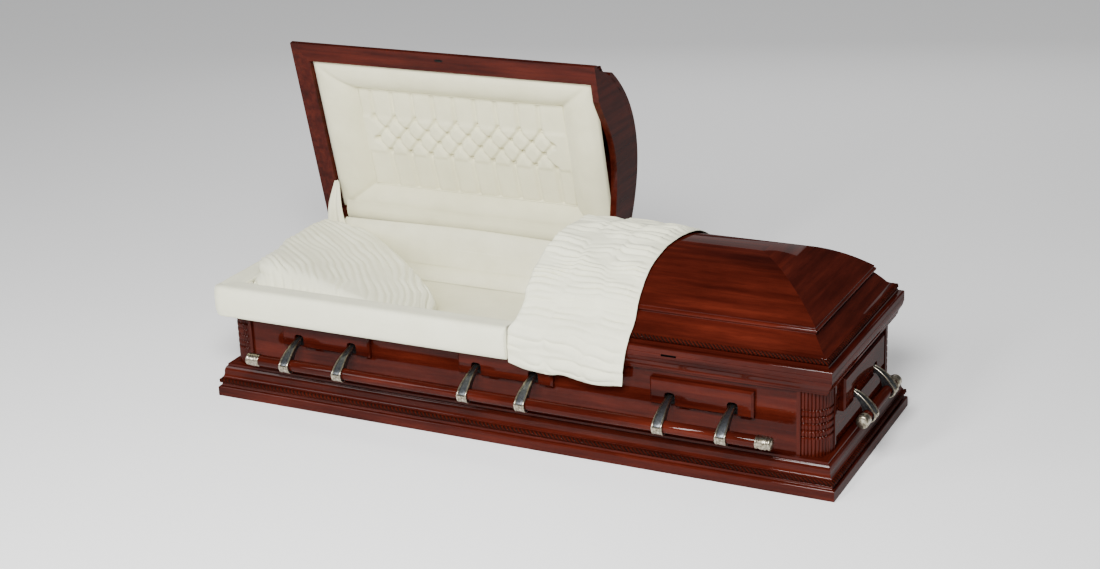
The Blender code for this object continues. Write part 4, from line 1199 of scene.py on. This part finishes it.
def band_section(proud, rise):
    """Closed section of the rim band, as distances out from the lid's edge and heights."""
    foot, top, inner, seat = BAND_LOW.z, RIM + rise, BAND_INNER, BAND_SEAT
    section = [(0.0006, seat), (0.0006, foot + 0.030), (0.0008, foot + 0.005), (proud * 0.30, foot)]
    section += [(proud * 0.72, foot + 0.002), (proud * 0.94, foot + 0.018), (proud, foot + 0.048)]
    section += [(proud * 0.97, top - 0.026), (proud * 0.84, top - 0.009), (proud * 0.58, top - 0.0015)]
    section += [(proud * 0.10, top), (-0.020, top - 0.003), (inner * 0.72, top - 0.005)]
    section += [(inner * 0.95, top - 0.010), (inner - 0.0022, seat - 0.001)]
    section += [(inner - 0.0026, BAND_INNER_LIP), (inner - 0.0008, BAND_INNER_LIP)]
    section += [(inner, seat - 0.001), (inner * 0.93, seat), (inner * 0.4, seat)]
    return even(spline(section + section[:1], 6), 72)[:-1]


def band_path():
    """Points along the lid's edge, with their outward directions and the share of the corner turned."""
    front_steps, corner_steps, head_steps = BAND_STEPS
    centre = Vector((BAND_CORNER - LID_END, BAND_CORNER - LID_SIDE))
    start, back = Vector((BAND_HIGH.x, -LID_SIDE)), Vector((-LID_END, BAND_HIGH.y))
    front_end, head_start = Vector((centre.x, -LID_SIDE)), Vector((-LID_END, centre.y))
    path = [(start.lerp(front_end, i / front_steps), Vector((0, -1)), 0.0) for i in range(front_steps + 1)]
    for i in range(1, corner_steps):
        angle = math.radians(270 - 90 * i / corner_steps)
        out = Vector((math.cos(angle), math.sin(angle)))
        path.append((centre + out * BAND_CORNER, out, i / corner_steps))
    path += [(head_start.lerp(back, i / head_steps), Vector((-1, 0)), 1.0) for i in range(head_steps + 1)]
    return path


def build_band():
    """Padded white band over the rim, full along the front and thin round the head end."""
    front = band_section(-BAND_LOW.y - LID_SIDE, BAND_FRONT_RISE)
    head = band_section(BAND_HEAD_WIDTH, BAND_HEAD_RISE)
    foot = BAND_LOW.z
    path = band_path()
    rows = []
    for number, (point, out, turn) in enumerate(path):
        row = []
        close = 0.80 + 0.20 * min(min(number, len(path) - 1 - number) / 4, 1) ** 0.5
        reach = number / len(path)
        crease = foot + 0.070 - 0.080 * reach + 0.006 * soft(reach * 9, 3.0, 1.0)
        for at_front, at_head in zip(front, head):
            d, z = at_front.lerp(at_head, smooth(turn))
            wave = 0.0016 * soft(point.x * 9, point.y * 9, z * 14)
            wave += 0.0007 * soft(point.x * 37, point.y * 37, z * 25)
            wave -= 0.0022 * bump(z - crease, 0.0028) * limited((reach - 0.35) * 4) * (d > 0.01)
            if d <= 0.004 and z <= RIM + 0.006:
                wave = 0
            d = d * (close if d > 0 else 1) + wave
            spot = point + out * d
            if d < -BAND_CORNER:
                if 0 < turn < 1:
                    spot = point - out * BAND_CORNER - Vector((1, 1)) * (d + BAND_CORNER)
                spot = Vector((max(spot.x, -LID_END - d), max(spot.y, -LID_SIDE - d)))
            row.append((*spot, max(z + wave * 0.6, foot)))
        rows.append(row)
    skin = Skin()
    skin.tube(rows)
    piece = make("padded_rim_band", skin, [WHITE], 70)
    settle(piece, "root", "throw_cloth", "rim_band")
    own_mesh(piece)


# Line of the throw over the foot lid's front, as insets and heights, from its hem up to the dome
THROW_LANE = [(-0.0048, -0.1051), (-0.0050, -0.060), (-0.0050, -0.020), (-0.0046, 0.008), (-0.0010, 0.0235),
              (0.0100, 0.0385), (0.0240, 0.0500), (0.0395, 0.0615), (0.0560, 0.0830), (0.0650, 0.1010),
              (0.0700, 0.1170)]
# Left and right edges over the distance from the hem, and the hem's height over the length
THROW_LEFT = ((0.00, 0.027), (0.09, 0.028), (0.12, 0.033), (0.15, 0.050), (0.25, 0.060), (0.385, 0.066),
              (0.46, 0.078), (0.545, 0.090), (0.60, 0.096))
THROW_RIGHT = ((0.00, 0.404), (0.066, 0.412), (0.146, 0.427), (0.373, 0.426), (0.463, 0.437), (0.56, 0.454),
               (0.62, 0.464))
THROW_HEM = ((0.028, 0.278), (0.075, 0.2635), (0.122, 0.259), (0.169, 0.257), (0.206, 0.262), (0.263, 0.253),
             (0.328, 0.247), (0.401, 0.256))
THROW_GATHERS = (0.33, 0.66)
THROW_PITCH = 0.023
THROW_COLUMNS = 110
THROW_BACK_HEM = 0.030
CLOTH_THICKNESS = 0.0014


def follow(table, place):
    """Value at a place in a table of places and values, on a smooth curve through them."""
    if place <= table[0][0]:
        return table[0][1]
    padded = [table[0]] + list(table) + [table[-1]]
    for (p, low), (a, start), (b, end), (q, high) in zip(padded, padded[1:], padded[2:], padded[3:]):
        if a <= place < b:
            t, span = (place - a) / (b - a), b - a
            leave, arrive = (end - low) / (b - p) * span, (high - start) / (q - a) * span
            return ((2 * t ** 3 - 3 * t * t + 1) * start + (t ** 3 - 2 * t * t + t) * leave
                    + (3 * t * t - 2 * t ** 3) * end + (t ** 3 - t * t) * arrive)
    return table[-1][1]


def throw_lane():
    """Line that the throw follows over the foot lid, from its front hem over the ridge to its back hem."""
    lane = THROW_LANE + [(inset - 0.0022, height + 0.0042) for inset, height in crown(10)[1:]]
    lane[-1] = (LID_SIDE, CROWN_HEIGHT + 0.0046)
    front = [Vector((inset - LID_SIDE, height)) for inset, height in lane]
    back = [Vector((-point.x, point.y)) for point in front[-2::-1] if point.y > THROW_BACK_HEM]
    return even(spline(front + back, 8), 360)


def throw_lift(x, v, reach, total):
    """Height of the ruched cloth over its lane, with a share across and a distance along it."""
    gathers = [gather + 0.035 * math.sin(reach * 11 + gather * 9) for gather in THROW_GATHERS]
    panel = sum(0.5 + 0.5 * math.tanh((v - gather) / 0.045) for gather in gathers)
    high = limited((reach - 0.12) / 0.25)
    drift = 0.026 * soft(x * 4.5, reach * 7, panel * 1.3) + 0.009 * soft(x * 15, reach * 15, 5.1)
    phase = (reach + drift + panel * 0.0080) / (THROW_PITCH + 0.010 * (1 - high))
    wrinkle = abs(math.sin(math.pi * phase)) ** 0.7
    strength = limited(0.60 + 1.30 * soft(x * 7, reach * 24, 2.0 + 0.5 * panel), 0.05, 1.25)
    pinch = 1 - 0.55 * max(bump(v - gather, 0.028) for gather in gathers)
    hem = min((1 - v) / 0.10, 1) * min(v / 0.03 + 0.3, 1)
    ends = min(reach / 0.02 + 0.2, 1, (total - reach) / 0.02 + 0.2)
    puff = (0.0085 + 0.0035 * high) * wrinkle * strength * pinch
    puff += 0.0075 * bump(reach - total * 0.52, 0.14) + 0.0040 * (0.5 + 0.5 * soft(x * 6, reach * 9, 9.0))
    fold = 0.0035 * bump(reach - 0.048 - 0.010 * math.sin(x * 9), 0.006) * min(v / 0.25, 1)
    seam = 0.0022 * bump(1 - v, 0.02) - 0.0014 * bump(v - 0.925, 0.008)
    return max(0.0016 + (puff * hem + fold) * ends + seam, 0.0008)


def two_faced(front, rear):
    """Skin of a thin cloth from its two faces, closed round its edges."""
    skin = Skin()
    skin.grid(front)
    skin.grid(rear)
    for edge in (0, -1):
        skin.grid([[row[edge] for row in front], [row[edge] for row in rear]])
        skin.grid([front[edge], rear[edge]])
    return skin


def build_throw():
    """Ruched cloth over the head end of the foot lid, with a tail that hangs down the front."""
    line = throw_lane()
    total = sum((b - a).length for a, b in zip(line, line[1:]))
    front, rear = [], []
    reach = 0.0
    for j, point in enumerate(line):
        if j:
            reach += (point - line[j - 1]).length
        along = direction(line, j)
        out = Vector((-along.y, along.x))
        hang = limited((0.105 - reach) / 0.09)
        left, right = follow(THROW_LEFT, reach), follow(THROW_RIGHT, reach)
        front.append([])
        rear.append([])
        for v in [i / THROW_COLUMNS for i in range(THROW_COLUMNS + 1)]:
            x = left + (right - left) * v
            lift = throw_lift(x, v, reach, total)
            lift += hang * max(0.0030 * math.sin(x * 46 + 0.8) * (0.4 + 0.6 * soft(x * 8, 1.0, 4.0)), -0.0006)
            drop = hang * (follow(THROW_HEM, x) - LID_BOTTOM - line[0].y)
            shift = 0.0018 * soft(reach * 30, v * 3, 6.0) + 0.0025 * soft(reach * 9, v, 8.0)
            shift *= min(reach / 0.15, 1)
            for rows, height in ((front, lift), (rear, lift - CLOTH_THICKNESS)):
                place = point + out * height
                rows[-1].append((x + shift, place.x, LID_BOTTOM + place.y + drop))
    piece = make("ruched_throw", two_faced(front, rear), [WHITE], 80)
    settle(piece, "foot_lid", "throw_cloth", "throw")


def cloth_strip(name, rows, thickness, material):
    """Thin cloth over rows of points, thickened to the rows' right."""
    columns = list(zip(*rows))
    rear = []
    for j, row in enumerate(rows):
        normals = [direction(row, i).cross(direction(columns[i], j)).normalized() for i in range(len(row))]
        rear.append([point - normal * thickness for point, normal in zip(row, normals)])
    piece = make(name, two_faced(rows, rear), [material], 70)
    return piece


# Paths of the back apron as places across and heights, and of the lid's hem as insets and heights
APRON_LINE = [(0.2812, 0.2980), (0.2806, 0.3300), (0.2815, 0.3600), (0.2850, 0.3840), (0.2925, 0.4030),
              (0.3030, 0.4160), (0.3130, 0.4232), (0.3165, 0.4222), (0.3195, 0.4140), (0.3225, 0.4030)]
APRON_ENDS = (-0.951, 0.074)
APRON_STEPS = 58
HEM_LINE = [(0.0290, -0.0006), (0.0320, -0.0035), (0.0400, -0.0072), (0.0520, -0.0085), (0.0660, -0.0065),
            (0.0780, -0.0020), (0.0880, 0.0020), (0.0950, 0.0042), (0.0990, 0.0060)]
HEM_ENDS = (-0.9580, 0.0590)
HEM_STEPS = 30
GUSSET_LOW, GUSSET_HIGH = Vector((-1.000, 0.274, 0.384)), Vector((-0.985, 0.3125, 0.552))
GUSSET_WIDTH, GUSSET_TOP_WIDTH = 0.063, 0.010


def build_back_apron():
    """Cloth that rises from the body's lining to a crisp fold at the foot of the raised head lid."""
    path = even(spline([Vector(point) for point in APRON_LINE], 10), APRON_STEPS)
    low_x, high_x = APRON_ENDS

    def place(share, u):
        point = path[round(share * APRON_STEPS)]
        x = low_x + (high_x - low_x) * u
        fold = 0.0060 * soft(x * 2.6, share * 1.2, 1.5) + 0.0018 * soft(x * 9, share * 2.5, 4.5)
        fold *= math.sin(math.pi * min(share * 1.25, 1)) ** 0.6
        rise = (0.013 * bump(x + 0.45, 0.32) - 0.006) * share ** 2
        return Vector((x, point.x - max(fold, -0.004), point.y + rise))

    piece = cloth_strip("back_apron", net(APRON_STEPS, 150, place), -0.0016, IVORY)
    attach(piece, "root")
    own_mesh(piece)


def build_lid_hem():
    """Soft lower edge of the head lid's lining, which hides the lid's frame along the hinge."""
    path = even(spline([Vector(point) for point in HEM_LINE], 8), HEM_STEPS)
    low_x, high_x = HEM_ENDS

    def place(share, u):
        inset, height = path[round(share * HEM_STEPS)]
        x = low_x + (high_x - low_x) * u
        if height <= 0.001:
            height += 0.0012 * soft(x * 6, inset * 20, 5.5)
        return OPEN @ Vector((x, LID_SIDE - inset, LID_BOTTOM + height))

    piece = cloth_strip("lid_hem", net(HEM_STEPS, 120, place), -0.0012, LID_IVORY)
    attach(piece, "head_lid")
    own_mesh(piece)


def build_gusset():
    """Narrow folded cloth between the head lid's lining and the body, at the head end."""

    def place(t, u):
        left = GUSSET_LOW.lerp(GUSSET_HIGH, t)
        span = GUSSET_WIDTH * (1 - t) ** 0.7 + GUSSET_TOP_WIDTH
        fold = 0.0080 * math.sin(u * math.pi * 3.0 + 0.5) * (0.30 + 0.70 * (1 - t))
        bow = 0.012 * math.sin(math.pi * t)
        ripple = 0.004 * soft(u * 4, t * 3, 2.0)
        return Vector((left.x + span * u - bow * 0.4, left.y - fold - bow, left.z + ripple))

    piece = cloth_strip("head_gusset", net(34, 30, place), -0.0016, IVORY)
    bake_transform(piece)


def dress_nodes():
    """Finishes of the solids that keep their own shape."""
    finishes = {
        "front_panel": CHERRY_X, "back_panel": CHERRY_X, "head_panel": CHERRY_Y, "foot_panel": CHERRY_Y,
        "head_lid_header": CHERRY_Y, "foot_lid_header": CHERRY_Y, "floor_board": BOARD,
        "head_lid_hinge": BRIGHT, "foot_lid_hinge": BRIGHT, "head_plate": CHERRY_Y, "foot_plate": CHERRY_Y,
    }
    for name, obj in frame["nodes"].items():
        material = finishes.get(name)
        if name.endswith("_rod"):
            material = BLACK
        elif name.endswith("_plate") and material is None:
            material = CHERRY_X
        if material is not None:
            obj.data.materials.clear()
            obj.data.materials.append(material)


# Stage, lights and camera


def build_stage():
    """Plain pale floor."""
    skin = Skin()
    skin.face([(-40, -30, -0.001), (40, -30, -0.001), (40, 60, -0.001), (-40, 60, -0.001)])
    material, tree, shader = start_material(
        "pale floor", (0.90, 0.90, 0.90), 0.8, Emission_Color=(1, 1, 1, 1), Emission_Strength=0.34
    )
    make("floor", skin, [material])


def area_light(name, place, target, size, power, colour=(1, 1, 1)):
    """Soft rectangular light aimed at a point."""
    light = bpy.data.lights.new(name, "AREA")
    light.shape = "RECTANGLE"
    light.size, light.size_y = size
    light.energy = power
    light.color = colour
    obj = bpy.data.objects.new(name, light)
    bpy.context.scene.collection.objects.link(obj)
    obj.location = place
    obj.rotation_mode = "QUATERNION"
    obj.rotation_quaternion = (Vector(target) - Vector(place)).to_track_quat("-Z", "Y")


def build_lights():
    """Large soft key from the front right, a weaker light from the front left, a narrow light for glints on
    the mouldings and a weak light from behind.
    """
    area_light("key", (1.5, -4.0, 3.9), (-0.1, 0, 0.4), (1.6, 1.2), 430)
    area_light("side", (-3.0, -3.6, 2.2), (-0.2, 0, 0.4), (1.6, 1.6), 75)
    area_light("glint", (-0.05, -3.2, 2.4), (0.9, -0.3, 0.4), (0.3, 1.4), 85)
    area_light("back", (-1.0, 4.2, 1.9), (0.5, 0, 0.5), (4.5, 1.5), 24)
    world = bpy.data.worlds.new("soft light")
    bpy.context.scene.world = world
    world.use_nodes = True
    background = world.node_tree.nodes["Background"]
    background.inputs["Color"].default_value = (0.96, 0.97, 1.0, 1)
    background.inputs["Strength"].default_value = 0.14


CAMERA_PLACE = Vector((2.6514, -5.2127, 2.5741))
CAMERA_AZIMUTH = math.radians(26.98)
CAMERA_ELEVATION = math.radians(20.39)
CAMERA_ROLL = -0.0421
CAMERA_LENS = 64.33
SENSOR_WIDTH = 36


def build_camera():
    """Camera at the photographed angle."""
    azimuth, elevation = CAMERA_AZIMUTH, CAMERA_ELEVATION
    back = Vector((math.sin(azimuth) * math.cos(elevation), -math.cos(azimuth) * math.cos(elevation),
                   math.sin(elevation)))
    right = Vector((math.cos(azimuth), math.sin(azimuth), 0))
    up = back.cross(right)
    c, s = math.cos(CAMERA_ROLL), math.sin(CAMERA_ROLL)
    rolled_right, rolled_up = right * c + up * s, up * c - right * s
    camera = bpy.data.cameras.new("camera")
    camera.lens = CAMERA_LENS
    camera.sensor_width = SENSOR_WIDTH
    obj = bpy.data.objects.new("camera", camera)
    bpy.context.scene.collection.objects.link(obj)
    turn = Matrix((rolled_right, rolled_up, back)).transposed().to_4x4()
    obj.matrix_world = Matrix.Translation(CAMERA_PLACE) @ turn
    bpy.context.scene.camera = obj

build_camera()
build_stage()
build_lights()
dress_nodes()
build_base()
build_rail()
build_posts()
build_lid("head", HEAD_SPLIT, -1, "head_lid", OPEN)
build_lid("foot", FOOT_SPLIT, 1, "foot_lid")
build_keeper()
for handle, arms in HANDLE_ARMS.items():
    build_handle(handle, arms)
build_notches()
build_body_lining()
build_mattress()
build_pad("padded_head_lid_lining", HEAD_PAD_LOW, HEAD_SPLIT - LID_HEADER, "head_lid", True, OPEN)
build_pad("padded_foot_lid_lining", PAD_LOW.x, PAD_HIGH.x, "foot_lid", False)
build_back_apron()
build_lid_hem()
build_gusset()
build_pillow()
build_pillow_piping()
build_band()
build_throw()
